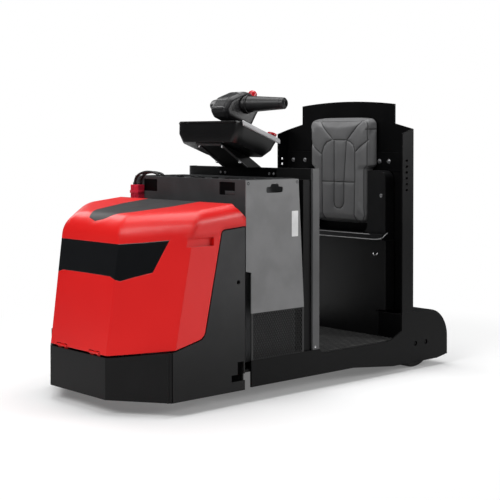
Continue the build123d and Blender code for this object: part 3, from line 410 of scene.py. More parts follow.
def turned(name, profile, centre, steps):
    """A ring turned about the X axis through centre, from a closed profile of (x, radius)."""
    only()
    bpy.ops.mesh.primitive_circle_add(vertices=len(profile), fill_type="NOTHING")
    piece = settle(bpy.context.object, name)
    for vertex, (across, radius) in zip(piece.data.vertices, profile):
        vertex.co = Vector(centre) + Vector((across, 0.0, radius))
    bpy.ops.object.mode_set(mode="EDIT")
    bpy.ops.mesh.select_all(action="SELECT")
    bpy.ops.mesh.spin(steps=steps, angle=2 * pi, center=centre, axis=(1, 0, 0))
    bpy.ops.mesh.select_all(action="SELECT")
    bpy.ops.mesh.remove_doubles(threshold=0.00001)
    bpy.ops.mesh.normals_make_consistent(inside=False)
    bpy.ops.object.mode_set(mode="OBJECT")
    return piece


def curve(name, points, radius, resolution, sides):
    """A round line laid along points, closed at its ends."""
    line = bpy.data.curves.new(name, "CURVE")
    line.dimensions = "3D"
    spline = line.splines.new("NURBS")
    spline.points.add(len(points) - 1)
    for point, place in zip(spline.points, points):
        point.co = (*place, 1.0)
    spline.order_u = 3
    spline.use_endpoint_u = True
    line.resolution_u = resolution
    line.bevel_depth = radius
    line.bevel_resolution = sides
    line.use_fill_caps = True
    return new_object(name, line)


def tube(name, points, radius):
    """A bead laid along points, as a mesh."""
    only(curve(name, points, radius, 8, 3))
    bpy.ops.object.convert(target="MESH")
    return bpy.context.object


def pick(piece, test, kind="FACE"):
    """In edit mode, selects the faces or edges whose middle and direction pass a test."""
    bpy.ops.mesh.select_mode(type=kind)
    bpy.ops.mesh.select_all(action="DESELECT")
    mesh = bmesh.from_edit_mesh(piece.data)
    if kind == "FACE":
        for face in mesh.faces:
            face.select_set(test(face.calc_center_median(), face.normal))
    else:
        for edge in mesh.edges:
            first, second = edge.verts[0].co, edge.verts[1].co
            edge.select_set(test((first + second) / 2, (second - first).normalized()))
    mesh.select_flush_mode()
    bmesh.update_edit_mesh(piece.data)


def faces_up(middle, way):
    return way.z > 0.9


def faces_front(middle, way):
    return way.y < -0.9


def sink(piece, test, border, depth):
    """Insets the chosen faces by border and moves them along Z by depth."""
    only(piece)
    bpy.ops.object.mode_set(mode="EDIT")
    pick(piece, test)
    bpy.ops.mesh.inset(thickness=border, depth=0.0)
    bpy.ops.mesh.extrude_region_move(TRANSFORM_OT_translate={"value": (0, 0, depth)})
    bpy.ops.object.mode_set(mode="OBJECT")
    return piece


def bevel_edges(piece, test, width, segments):
    """Rounds only the edges that pass a test."""
    only(piece)
    bpy.ops.object.mode_set(mode="EDIT")
    pick(piece, test, "EDGE")
    bpy.ops.mesh.bevel(offset=width, segments=segments, affect="EDGES")
    bpy.ops.object.mode_set(mode="OBJECT")
    return piece


def modify(piece, kind, **settings):
    """Adds a modifier and applies it."""
    only(piece)
    modifier = piece.modifiers.new(kind.lower(), kind)
    for key, value in settings.items():
        setattr(modifier, key, value)
    bpy.ops.object.modifier_apply(modifier=modifier.name)
    return piece


def round_edges(piece, width, segments=2, limit=30.0):
    return modify(piece, "BEVEL", width=width, segments=segments, limit_method="ANGLE",
                  angle_limit=radians(limit))


def repeat(piece, count, step):
    return modify(piece, "ARRAY", count=count, use_relative_offset=False,
                  use_constant_offset=True, constant_offset_displace=step)


def cut(piece, tool):
    modify(piece, "BOOLEAN", object=tool, operation="DIFFERENCE", solver="EXACT")
    bpy.data.objects.remove(tool)
    return piece


def join(name, *pieces):
    only(*pieces)
    bpy.ops.object.join()
    piece = bpy.context.object
    piece.name = name
    return piece


def copies(name, template, spots):
    """One piece made of a template's copies, each at a place with its Z axis facing a way."""
    made = []
    for place, way in spots:
        only(template)
        bpy.ops.object.duplicate()
        made.append(put_at(bpy.context.object, place, way))
    return join(name, *made)


def node_copy(name, node):
    """A copy of a CAD node's mesh, made whole so that it can be worked on."""
    only(nodes[node])
    bpy.ops.object.duplicate()
    piece = bpy.context.object
    piece.name = name
    piece.modifiers.clear()
    bpy.ops.object.mode_set(mode="EDIT")
    bpy.ops.mesh.select_all(action="SELECT")
    bpy.ops.mesh.remove_doubles(threshold=MERGE_DISTANCE)
    bpy.ops.mesh.dissolve_limited(angle_limit=FLAT_ANGLE)
    bpy.ops.object.mode_set(mode="OBJECT")
    return piece


def fit(piece, body, slot, finish=None, angle=35.0):
    """Gives a finished piece its smooth faces, its finish and its body; the finish is the slot's
    unless one is given.
    """
    only(piece)
    bpy.ops.object.shade_smooth_by_angle(angle=radians(angle))
    piece.data.materials.clear()
    piece.data.materials.append(finish or FINISHES[slot])
    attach(piece, body)
    return piece


# Places on the tug, in metres

SIDE_X = 0.400
PANEL_SCREW_X = 0.3996
PANEL_SCREW_Z = 0.8545
PANEL_REAR_SCREW_Y = -0.0850
PANEL_FRONT_SCREW_Y = {"left": -0.3490, "right": -0.2880}
DASH_FRONT_Y, DASH_SCREW_Z = 0.0, 0.8805
DASH_SCREWS_X = (-0.1690, -0.1385, 0.1459, 0.1737)
STRAP_FRONT_Y, STRAP_BOLT_Z = 0.624, 0.9265
STRAP_BOLTS_X = (-0.352, -0.2706, 0.2105, 0.2669)
SEAT_BOX_FRONT_Y = 0.563
WHEEL_BOLTS = ((0.653, 0.117), (0.724, 0.117))
WHEEL_BOLT_X = 0.3925
WHEEL_PAD_X = 0.3918
FLANK_HOLE = (-0.4002, 0.4753)
CELL_TOP_Z = 0.858
CELL_PITCH = 0.118
CELL_ROWS_Y = (-0.1935 - 0.06525, -0.1935 + 0.06525)
DESK_ORIGIN = Vector((0.0, -0.1095, 1.061))
DESK_TILT = radians(20.47)
DESK_BACK = Vector((0.0, cos(DESK_TILT), -sin(DESK_TILT)))
DESK_UP = Vector((0.0, sin(DESK_TILT), cos(DESK_TILT)))


def desk(across, back, up):
    """A place given in the tilted console's own directions."""
    return DESK_ORIGIN + Vector((across, 0, 0)) + back * DESK_BACK + up * DESK_UP


# Battery leads

LEAD_THICKNESS = 0.011
LEAD_ROUTES = (
    ("battery_lead_front", 0.167,
     [(-0.331, -0.3533, 0.830), (-0.331, -0.3533, 0.862), (-0.290, -0.338, 0.886),
      (-0.250, -0.320, 0.886), (-0.220, -0.308, 0.876), (-0.220, -0.308, 0.858)]),
    ("battery_lead_rear", 0.160,
     [(-0.311, -0.3413, 0.830), (-0.311, -0.3413, 0.860), (-0.276, -0.327, 0.884),
      (-0.240, -0.305, 0.884), (-0.206, -0.290, 0.875), (-0.206, -0.290, 0.858)]),
)


def add_leads():
    """Two leads from the plug's top, arching over onto the battery."""
    for name, length, route in LEAD_ROUTES:
        lead = curve(name, route, LEAD_THICKNESS / 2, 12, 4)
        lead.data.materials.append(FINISHES["lead_black"])
        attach(lead, "chassis")
        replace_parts(lead, "plug_leads")


# Back cushion

CUSHION_SEAMS = (
    ((-0.119, 1.108), (-0.025, 1.023), (0.062, 1.023), (0.144, 1.105)),
    ((-0.092, 0.636), (-0.098, 0.822), (-0.098, 0.963), (-0.086, 0.993), (-0.066, 1.013),
     (-0.037, 1.023)),
    ((0.106, 0.636), (0.111, 0.828), (0.111, 0.971), (0.102, 0.999), (0.082, 1.015),
     (0.062, 1.021)),
    ((-0.020, 1.018), (-0.019, 0.731), (-0.013, 0.714), (0.000, 0.707), (0.022, 0.707),
     (0.035, 0.716), (0.042, 0.733), (0.043, 0.832), (0.058, 1.018)),
    ((-0.098, 0.829), (0.111, 0.829)),
    ((-0.190, 1.013), (-0.102, 0.957)),
    ((0.178, 1.022), (0.117, 0.971)),
)
CUSHION_FRONT_Y, CUSHION_BACK_Y = 0.5685, 0.6225
CUSHION_HALF_WIDTH = 0.178
CUSHION_FOOT_Z, CUSHION_HEAD_Z = 0.641, 1.116
CUSHION_WAIST_Z, CUSHION_WAIST_HALF = 0.88, 0.235
CUSHION_SWELL = 0.008
CUSHION_WIDEST = 0.1852
FLARE_Z, FLARE_HEIGHT, FLARE_SHARE = 0.888, 0.022, 0.125
STUFFING_FRAMES = 20
FLAP_SEAM_Z = 1.072
WELT_Y = 0.5775


def clamped(value):
    return max(0.0, min(1.0, value))


def groove(distance, width):
    """1 on a line, falling away to 0 over about width on both sides."""
    return exp(-(distance / width) ** 2)


def seam_distance(x, z):
    """How far a point of the cushion's front is from its nearest seam."""
    nearest = 1.0
    for line in CUSHION_SEAMS:
        for (x0, z0), (x1, z1) in zip(line, line[1:]):
            dx, dz = x1 - x0, z1 - z0
            along = clamped(((x - x0) * dx + (z - z0) * dz) / (dx * dx + dz * dz))
            gap = ((x - x0 - along * dx) ** 2 + (z - z0 - along * dz) ** 2) ** 0.5
            nearest = min(nearest, gap)
    return nearest


def cushion_blank():
    """The cushion before it is stuffed: rounded corners and front edge, a drawn-in waist."""
    pad = block("back_cushion", (-CUSHION_HALF_WIDTH, CUSHION_FRONT_Y, CUSHION_FOOT_Z),
                (CUSHION_HALF_WIDTH, CUSHION_BACK_Y, CUSHION_HEAD_Z))
    bpy.ops.object.mode_set(mode="EDIT")
    pick(pad, faces_front)
    bpy.ops.transform.resize(value=(0.95, 1.0, 0.975))
    pick(pad, lambda middle, way: abs(way.y) > 0.9, "EDGE")
    bpy.ops.mesh.bevel(offset=0.034, segments=5, affect="EDGES")
    pick(pad, faces_front)
    bpy.ops.mesh.bevel(offset=0.012, segments=3, affect="EDGES")
    bpy.ops.object.mode_set(mode="OBJECT")
    pad.data.remesh_voxel_size = 0.005
    bpy.ops.object.voxel_remesh()
    for vertex in pad.data.vertices:
        if vertex.co.y < CUSHION_BACK_Y - 0.004:
            waist = 1.0 - ((vertex.co.z - CUSHION_WAIST_Z) / CUSHION_WAIST_HALF) ** 2
            vertex.co.x *= 1.0 - 0.012 * max(0.0, waist)
    return pad


def stuff(pad):
    """Blows the cushion up as cloth, held at its back, and keeps the swelling small."""
    start = [vertex.co.copy() for vertex in pad.data.vertices]
    held = pad.vertex_groups.new(name="held")
    held.add([v.index for v in pad.data.vertices if v.co.y > CUSHION_BACK_Y - 0.003],
             1.0, "REPLACE")
    cloth = pad.modifiers.new("stuffing", "CLOTH")
    cloth.settings.use_pressure = True
    cloth.settings.uniform_pressure_force = 3.0
    cloth.settings.effector_weights.gravity = 0.0
    cloth.settings.vertex_group_mass = "held"
    cloth.collision_settings.use_collision = False
    cloth.point_cache.frame_start = 1
    cloth.point_cache.frame_end = STUFFING_FRAMES
    for moment in range(1, STUFFING_FRAMES + 1):
        bpy.context.scene.frame_set(moment)
    only(pad)
    bpy.ops.object.modifier_apply(modifier=cloth.name)
    bpy.context.scene.frame_set(1)
    for vertex, origin in zip(pad.data.vertices, start):
        move = vertex.co - origin
        if move.length > CUSHION_SWELL:
            vertex.co = origin + move * (CUSHION_SWELL / move.length)
    modify(pad, "SMOOTH", factor=0.5, iterations=12)
    for vertex in pad.data.vertices:
        flare = clamped((vertex.co.z - FLARE_Z) / FLARE_HEIGHT)
        vertex.co.x = max(-CUSHION_WIDEST, min(CUSHION_WIDEST, vertex.co.x))
        vertex.co.x *= 1.0 + FLARE_SHARE * flare * flare * (3.0 - 2.0 * flare)
        vertex.co.z += 0.008 * clamped((vertex.co.z - 1.03) / 0.06)
    modify(pad, "SUBSURF", levels=1, render_levels=1)


def stitch(pad):
    """Draws the cushion in along its seams and welt, and marks them with painted shade for the
    fabric.
    """
    # The seam attribute is painted shade: the fabric turns near black where it is.
    seam_shade_layer = pad.data.attributes.new("seam", "FLOAT", "POINT")
    for vertex in pad.data.vertices:
        place = vertex.co
        place.y = min(place.y, CUSHION_BACK_Y)
        front = clamped((0.592 - place.y) / 0.012)
        side = abs(place.x) > 0.166 and 0.570 < place.y < 0.617
        gap = seam_distance(place.x, place.z) if front else 1.0
        draw = 0.0042 * groove(gap, 0.0034) + 0.0030 * groove(gap, 0.013)
        seam_shade = front * groove(gap, 0.0024)
        if side:
            flap = abs(place.z - FLAP_SEAM_Z)
            place.x *= 1.0 - 0.012 * groove(flap, 0.003)
            seam_shade = max(seam_shade, groove(flap, 0.0024))
        welt = abs(place.y - WELT_Y)
        if abs(place.x) > 0.150 or place.z > 1.096 or place.z < 0.656:
            place.x *= 1.0 - 0.011 * groove(welt, 0.0028)
            seam_shade = max(seam_shade, 0.8 * groove(welt, 0.002))
        place.y += front * draw
        seam_shade_layer.data[vertex.index].value = seam_shade


def add_cushion():
    """The stuffed back cushion with its sewn seams."""
    pad = cushion_blank()
    stuff(pad)
    stitch(pad)
    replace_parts(fit(pad, "chassis", "cushion_black", angle=80.0), "backrest_cushion")


# Platform mat

RIB_PITCH, RIB_COUNT = 0.0218, 34
TICK_PITCH, TICK_COUNT = 0.0111, 49
HEM_X = 0.383


def add_mat():
    """Rubber mat with ribs from front to back and a ticked hem beside each sill."""
    base = block("base", (-0.392, 0.014, 0.130), (0.392, 0.560, 0.1412))
    rib = block("rib", (-0.3655, 0.016, 0.1405), (-0.3525, 0.558, 0.145))
    bevel_edges(rib, lambda middle, way: abs(way.y) > 0.9 and middle.z > 0.143, 0.003, 3)
    repeat(rib, RIB_COUNT, (RIB_PITCH, 0.0, 0.0))
    tick = block("tick", (HEM_X - 0.0075, 0.018, 0.1405), (HEM_X + 0.0075, 0.0235, 0.1445))
    round_edges(tick, 0.0012)
    repeat(tick, TICK_COUNT, (0.0, TICK_PITCH, 0.0))
    only(tick)
    bpy.ops.object.duplicate()
    far_tick = put_at(bpy.context.object, (-2 * HEM_X, 0.0, 0.0))
    mat = join("platform_rubber", base, rib, tick, far_tick)
    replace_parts(fit(mat, "chassis", "mat_black"), "platform_mat")


# Tyres

SHOULDER = ((0.0, 0.016), (0.002, 0.009), (0.006, 0.003), (0.012, 0.0))
GROOVE = ((-0.0035, 0.0), (-0.0022, 0.005), (0.0022, 0.005), (0.0035, 0.0))
WALL_INSET = 0.0016
TYRE_STEPS = 96


def tread(half, outer, inner, grooves):
    """The closed section of a solid tyre with round shoulders and grooves, as (x, radius)."""
    section = [(-half, inner)]
    section += [(inward - half, outer - drop) for inward, drop in SHOULDER]
    for middle in grooves:
        section += [(middle + across, outer - drop) for across, drop in GROOVE]
    section += [(half - inward, outer - drop) for inward, drop in reversed(SHOULDER)]
    return section + [(half, inner)]


def sidewall(section):
    """Sets a tyre's side walls back a little, from the bead up to a small step."""
    side, bead = section[0]
    step = bead + 0.010
    set_back = [(side + WALL_INSET, radius) for radius in (bead, step - 0.004, step + 0.004)]
    edge = step + 0.0055
    return (set_back + [(side, edge)] + section[1:-1] + [(-side, edge)]
            + [(-x, radius) for x, radius in reversed(set_back)])


def add_tyres():
    rear = tread(0.040, 0.125, 0.085, (-0.016, 0.0, 0.016))
    drive = tread(0.050, 0.127, 0.090, (-0.022, 0.0, 0.022))
    for name, node, body, section, centre in (
            ("rear_tread_left", "rear_tyre_left", "rear_wheel_left", rear, (0.320, 0.700, 0.125)),
            ("rear_tread_right", "rear_tyre_right", "rear_wheel_right", rear,
             (-0.320, 0.700, 0.125)),
            ("drive_tread", "drive_tyre", "drive_wheel", drive, (0.0, -0.530, 0.127))):
        tyre = turned(name, sidewall(section), centre, TYRE_STEPS)
        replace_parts(fit(tyre, body, "tyre_black", angle=28.0), node)


# Fasteners

def sunk_screw():
    """A countersunk socket screw, its top at zero."""
    screw = disc("sunk", 0.0062, -0.002, 0.0, 24)
    sink(screw, faces_up, 0.0024, -0.0013)
    return round_edges(screw, 0.0003, 1)


def pan_screw(radius, height):
    """A low round screw head with a socket."""
    screw = disc("pan", radius, 0.0, height, 24)
    sink(screw, faces_up, radius * 0.42, -height * 0.6)
    return round_edges(screw, radius * 0.16, 2)


def hex_bolt(across, height):
    """A hexagon head on its washer."""
    washer = disc("washer", across * 0.82, 0.0, 0.0014, 24)
    head = disc("hex", across * 0.577, 0.0014, 0.0014 + height, 6)
    round_edges(head, across * 0.05, 1, 40.0)
    return join("hex", washer, head)


def add_screws():
    """Screws of the battery panels, the dash, the cushion's strap and the seat box."""
    sunk, pan, hexagon = sunk_screw(), pan_screw(0.0060, 0.0038), hex_bolt(0.0130, 0.0055)
    for side, name in SIDES:
        spots = [((side * PANEL_SCREW_X, y, PANEL_SCREW_Z), (side, 0, 0))
                 for y in (PANEL_FRONT_SCREW_Y[name], PANEL_REAR_SCREW_Y)]
        fit(copies("panel_screws_" + name, sunk, spots), "panel_" + name, "console_black",
            FINISHES["frame_black"])
    dash = [((x, DASH_FRONT_Y, DASH_SCREW_Z), FRONT) for x in DASH_SCREWS_X]
    fit(copies("dash_screws", pan, dash), "chassis", "bare_steel")
    strap = [((x, STRAP_FRONT_Y, STRAP_BOLT_Z), FRONT) for x in STRAP_BOLTS_X]
    fit(copies("strap_screws", hexagon, strap), "chassis", "bare_steel")
    small = pan_screw(0.0046, 0.0017)
    feet = [((side * 0.398, 0.020, 0.1760), (side, 0, 0)) for side, _ in SIDES]
    fit(copies("dash_foot_screws", small, feet), "chassis", "bare_steel")
    box = [((side * 0.250, SEAT_BOX_FRONT_Y, 0.2555), FRONT) for side, _ in SIDES]
    fit(copies("seat_box_screws", small, box), "chassis", "frame_black")
    for template in (sunk, pan, hexagon, small):
        bpy.data.objects.remove(template)


# Side plates and wheel covers

def drilled(name, node, side, spots, radius, slot, finish=None):
    """A side sheet's copy with round holes cut through it at each (y, z)."""
    sheet = node_copy(name, node)
    for y, z in spots:
        drill = disc("drill", radius, -0.02, 0.02, 28)
        cut(sheet, put_at(drill, (side * SIDE_X, y, z), (side, 0, 0)))
    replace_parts(fit(sheet, "chassis", slot, finish, angle=8.0), node)


def add_wheel_covers():
    """Side plates with their hole and a painted light gradient, and sills with the rear wheels'
    bolts sunk in theirs.
    """
    bolt = hex_bolt(0.0110, 0.0026)
    # Side plates: near black at the foot and grey at the top, a painted light gradient that
    # stands for the lamps' reflection.
    painted_top_light = banded_coat("flank_plate_painted_light", UPWARD, 0.08, 0.62, (0.0035, 0.0035, 0.0037),
                        (0.042, 0.042, 0.043), 0.28, 0.22)
    for side, name in SIDES:
        drilled("wheel_cover_" + name, "sill_" + name, side, WHEEL_BOLTS, 0.0110, "frame_black")
        drilled("flank_plate_" + name, "side_plate_" + name, side, [FLANK_HOLE], 0.0085,
                "plate_grey", painted_top_light)
        spots = [((side * WHEEL_BOLT_X, y, z), (side, 0, 0)) for y, z in WHEEL_BOLTS]
        back = block("pad", (side * WHEEL_PAD_X - 0.0006, 0.638, 0.102),
                     (side * WHEEL_PAD_X + 0.0006, 0.739, 0.132))
        bolts = join("wheel_cover_bolts_" + name, copies("bolts", bolt, spots), back)
        fit(bolts, "chassis", "frame_black")
    bpy.data.objects.remove(bolt)


# Vent grilles

GRILLE_FRONT_Y, GRILLE_REAR_Y = -0.323, -0.055
GRILLE_FOOT_Z, GRILLE_HEAD_Z = 0.1645, 0.3470
GRILLE_X, GRILLE_BAR_HALF, GRILLE_BAR_HEIGHT = 0.397, 0.0014, 0.004
WIRE_X, WIRE_HALF, WIRE_DEPTH, WIRE_OFFSET = 0.3972, 0.0015, 0.0014, 0.0006
WIRE_SLOPE, WIRE_PITCH, WIRE_START, WIRE_SHORTEST = 1.55, 0.0125, 0.004, 0.003


def strand(start, end):
    """A flat wire between two points of the grille's plane."""
    along = (end - start).normalized()
    across = Vector((0, -along.z, along.y)) * WIRE_HALF
    return plate("wire", [start - across, end - across, end + across, start + across],
                 (WIRE_DEPTH, 0, 0))


def grille_wires(side):
    """Two sets of slanting wires, each ended at the grille's edges."""
    wires = []
    reach = (GRILLE_HEAD_Z - GRILLE_FOOT_Z) / WIRE_SLOPE
    count = int((GRILLE_REAR_Y - GRILLE_FRONT_Y + reach) / WIRE_PITCH)
    for lean in (1, -1):
        x = side * WIRE_X - WIRE_DEPTH / 2 + lean * WIRE_OFFSET
        slope = lean * WIRE_SLOPE
        for index in range(count + 1):
            foot = GRILLE_FRONT_Y + index * WIRE_PITCH + WIRE_START - (reach if lean > 0 else 0.0)
            head = foot + lean * reach
            first = max(min(foot, head), GRILLE_FRONT_Y)
            last = min(max(foot, head), GRILLE_REAR_Y)
            if last - first > WIRE_SHORTEST:
                wires.append(strand(*(Vector((x, y, GRILLE_FOOT_Z + (y - foot) * slope))
                                      for y in (first, last))))
    return wires


def add_grilles():
    """Expanded-metal grilles with a bar along their top and foot."""
    for side, name in SIDES:
        wires = grille_wires(side)
        near, far = side * GRILLE_X - GRILLE_BAR_HALF, side * GRILLE_X + GRILLE_BAR_HALF
        bars = [block("bar", (near, GRILLE_FRONT_Y, low), (far, GRILLE_REAR_Y, high))
                for low, high in ((GRILLE_FOOT_Z, GRILLE_FOOT_Z + GRILLE_BAR_HEIGHT),
                                  (GRILLE_HEAD_Z - GRILLE_BAR_HEIGHT, GRILLE_HEAD_Z))]
        grille = join("vent_mesh_" + name, *wires, *bars)
        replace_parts(fit(grille, "panel_" + name, "grille_black"), "vent_grille_" + name)


# Battery

def add_battery_top():
    """Filler caps, cell bridges and the lead lugs on top of the battery."""
    cap = disc("cap", 0.0150, 0.0, 0.0070, 24)
    sink(cap, faces_up, 0.0050, -0.0022)
    round_edges(cap, 0.0012, 2)
    columns = [(index - 2.5) * CELL_PITCH for index in range(6)]
    spots = [((x, y, CELL_TOP_Z), UP) for x in columns for y in CELL_ROWS_Y]
    fit(copies("filler_caps", cap, spots), "chassis", "shell_black")
    bpy.data.objects.remove(cap)
    bridges = []
    for row, y in enumerate(CELL_ROWS_Y):
        for column in range(5):
            x = (columns[column] + columns[column + 1]) / 2
            middle = y + (0.036 if (column + row) % 2 else -0.036)
            bridge = block("bridge", (x - 0.026, middle - 0.009, CELL_TOP_Z),
                           (x + 0.026, middle + 0.009, CELL_TOP_Z + 0.006))
            bridges.append(round_edges(bridge, 0.0018, 2))
    fit(join("cell_bridges", *bridges), "chassis", "lead_black")
    lugs = []
    for _, _, route in LEAD_ROUTES:
        x, y, _ = route[-1]
        lug = put_at(disc("lug", 0.0080, CELL_TOP_Z, CELL_TOP_Z + 0.0065, 20), (x, y, 0))
        lugs.append(round_edges(lug, 0.001, 1))
    fit(join("lead_lugs", *lugs), "chassis", "bare_steel")


def add_lift_pockets():
    """Dark sheets closing the battery's four lifting holes, painted shade in them, and the lug
    inside one of them.
    """
    # Near-black sheets in the holes: painted shade where the holes go dark.
    hole_shades = []
    for side, _ in SIDES:
        for y in (-0.3256, -0.0614):
            hole_shades.append(block("hole_shade_sheet", (side * 0.251 - 0.0465, y - 0.0003, 0.8045),
                                (side * 0.251 + 0.0465, y + 0.0003, 0.8555)))
    fit(join("lift_hole_shade", *hole_shades), "chassis", "frame_black")
    lug = block("lift_lug", (0.238, -0.3292, 0.8050), (0.2965, -0.3262, 0.8215))
    fit(round_edges(lug, 0.0012, 2), "chassis", "battery_grey")


def add_plug_ribs():
    """Moulded ribs and the pull handle's band on the battery plug, and the leads' cuffs."""
    ribs = [block("rib", (x - 0.0022, -0.3668, 0.774), (x + 0.0022, -0.3640, 0.824))
            for x in (-0.340, -0.3305, -0.3095, -0.300)]
    ribs.append(block("band", (-0.3492, -0.3672, 0.7940), (-0.2908, -0.3320, 0.8060)))
    fit(round_edges(join("plug_ribs", *ribs), 0.0008, 2), "chassis", "plug_red")
    cuffs = []
    for _, _, route in LEAD_ROUTES:
        x, y, _ = route[0]
        cuff = put_at(disc("cuff", 0.0078, 0.8302, 0.8400, 24), (x, y, 0))
        cuffs.append(round_edges(cuff, 0.0022, 2))
    fit(join("lead_cuffs", *cuffs), "chassis", "lead_black")


# Steering handle

GRIP_ROOT = (0.026, 0.011, 0.126)
GRIP_TIP = (0.232, 0.076, 0.152)
DISPLAY_PLACE, DISPLAY_WAY = (0.042, -0.0745, 1.2227), (0.71, -0.24, 0.67)


def add_pod():
    """The pod with its edges melted round, as a thick moulding has them."""
    pod = node_copy("handle_pod_round", "handle_pod")
    pod.data.remesh_voxel_size = 0.0022
    only(pod)
    bpy.ops.object.voxel_remesh()
    modify(pod, "SMOOTH", factor=0.6, iterations=40)
    modify(pod, "DECIMATE", ratio=0.35)
    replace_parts(fit(pod, "handle", "handle_black", angle=180.0), "handle_pod")


def add_handle_details():
    """End buttons, seams and root bands on both grips, and the pod's small display."""
    buttons, seams, bands = [], [], []
    for side, _ in SIDES:
        root, tip = (desk(side * across, back, up) for across, back, up in (GRIP_ROOT, GRIP_TIP))
        way = (tip - root).normalized()
        button = disc("button", 0.0105, -0.001, 0.0014, 32)
        sink(button, faces_up, 0.0024, -0.0012)
        sink(button, lambda middle, normal: normal.z > 0.9 and middle.xy.length < 0.002,
             0.0028, 0.0008)
        buttons.append(put_at(round_edges(button, 0.0004, 1), tip, way))
        seam = disc("seam", 0.02575, -0.0006, 0.0006, 64)
        seams.append(put_at(seam, tip - 0.024 * way, way))
        band = disc("band", 0.0405, -0.0045, 0.0045, 64)
        bands.append(put_at(round_edges(band, 0.0028, 3), root + 0.036 * way, way))
    fit(join("grip_end_buttons", *buttons), "handle", "frame_black")
    fit(join("grip_seams", *seams), "handle", "frame_black")
    fit(join("grip_root_bands", *bands), "handle", "handle_black")
    window = disc("display_window", 0.0085, -0.0030, 0.0012, 40)
    round_edges(window, 0.0008, 2)
    window.scale = (1.25, 0.75, 1.0)
    fit(put_at(window, DISPLAY_PLACE, DISPLAY_WAY), "handle", "console_rim",
        FINISHES["panel_grey"])


# Console

BRACKET_TOP = Vector((0.0, -0.2140, 1.0087))
BRACKET_FOOT = Vector((0.0, -0.0640, 0.9087))
BRACKET_OUT = Vector((0.0, -0.5547, -0.8320))
BRACKET_INNER_X, BRACKET_OUTER_X = 0.066, 0.0815


def add_console_details():
    """The pale strip on the console's left edge, and the bracket's bolted flange below with a
    painted highlight.
    """
    points = [desk(0.2020, -0.106, 0.0092), desk(0.2125, -0.100, 0.0030),
              desk(0.2140, -0.096, -0.0115), desk(0.2070, -0.098, -0.0150)]
    strip = plate("console_edge_strip", points, 0.216 * DESK_BACK)
    fit(round_edges(strip, 0.0022, 3), "chassis", "console_rim")
    down = (BRACKET_FOOT - BRACKET_TOP).normalized()
    outlines = []
    for side, _ in SIDES:
        inner = Vector((side * BRACKET_INNER_X, 0, 0))
        outer = Vector((side * BRACKET_OUTER_X, 0, 0))
        outlines.append([BRACKET_TOP + inner, BRACKET_TOP + outer, BRACKET_FOOT + outer,
                         BRACKET_FOOT + inner])
    outlines.append([BRACKET_TOP + Vector((x, 0, 0)) + along * down for x, along in
                     ((-0.067, 0.0), (0.067, 0.0), (0.067, 0.015), (-0.067, 0.015))])
    strips = [plate("edge", [point + 0.0003 * BRACKET_OUT for point in outline],
                    0.003 * BRACKET_OUT) for outline in outlines]
    flange = round_edges(join("bracket_flange", *strips), 0.0008, 1)
    # The flange strips are a lighter grey than the bracket's plate grey: a painted highlight on
    # its lit edges.
    fit(flange, "chassis", "plate_grey", powder_coat("bracket_edge_painted_highlight", (0.075, 0.075, 0.077), 0.3))
    bolt = hex_bolt(0.0110, 0.0050)
    spots = [(BRACKET_TOP + Vector((side * 0.0735, 0, 0)) + along * down + 0.0033 * BRACKET_OUT,
              BRACKET_OUT) for side, _ in SIDES for along in (0.018, 0.135)]
    fit(copies("bracket_bolts", bolt, spots), "chassis", "bare_steel")
    bpy.data.objects.remove(bolt)


# Panels and seat

def add_blank_label():
    """A blank white card on the left battery panel."""
    card = powder_coat("label_card", (0.72, 0.72, 0.72), 0.5, grain=0.3)
    label = block("blank_label", (0.3988, -0.114, 0.636), (0.39935, -0.079, 0.739))
    bevel_edges(label, lambda middle, way: abs(way.x) > 0.9, 0.003, 3)
    fit(label, "panel_left", "console_rim", card)


def add_seat_details():
    """The bench's beaded edge, pale as a painted highlight, the finger pull and the buttons on
    the hip rest.
    """
    upper = [(-0.285, 0.5490, 0.5985), (-0.100, 0.5472, 0.5985), (0.100, 0.5472, 0.5985),
             (0.205, 0.5480, 0.5985), (0.222, 0.5500, 0.5985)]
    lower = [(-0.292, 0.5500, 0.5770), (-0.150, 0.5474, 0.5765), (0.150, 0.5474, 0.5765),
             (0.225, 0.5474, 0.5765), (0.268, 0.5474, 0.5780), (0.2955, 0.5480, 0.5850),
             (0.2968, 0.5600, 0.5960), (0.2968, 0.5800, 0.6060)]
    beads = join("bench_beads", tube("upper", upper, 0.0018), tube("lower", lower, 0.0022))
    # Pale grey beads on the black bench: a painted highlight along its rounded edge.
    fit(beads, "chassis", "shell_black", moulded("bench_bead_painted_highlight", (0.30, 0.30, 0.30), 0.22))
    pull = [(0.2290, 0.5630, 0.5160), (0.2310, 0.5580, 0.5080), (0.2420, 0.5560, 0.5050),
            (0.2530, 0.5580, 0.5080), (0.2550, 0.5630, 0.5160)]
    fit(tube("seat_box_pull", pull, 0.0022), "chassis", "bare_steel")
    button = disc("button", 0.0085, 0.0, 0.0030, 28)
    sink(button, faces_up, 0.0030, -0.0016)
    round_edges(button, 0.0008, 2)
    spots = [((side * 0.2700, 0.5680, 0.7740), FRONT) for side, _ in SIDES]
    fit(copies("hip_rest_buttons", button, spots), "chassis", "bare_steel")
    bpy.data.objects.remove(button)


# CAD nodes

SHEET_NODES = (
    "apron_front", "side_plate_left", "side_plate_right", "side_posts", "chassis_floor",
    "drive_deck", "rear_frame", "rear_cover", "dash_wall", "battery", "backrest_plate",
    "cushion_strap", "console_bracket", "battery_panel_left", "battery_panel_right",
    "vent_grille_left", "vent_grille_right", "hood_window",
)
EDGE_ROUNDING = 0.0012


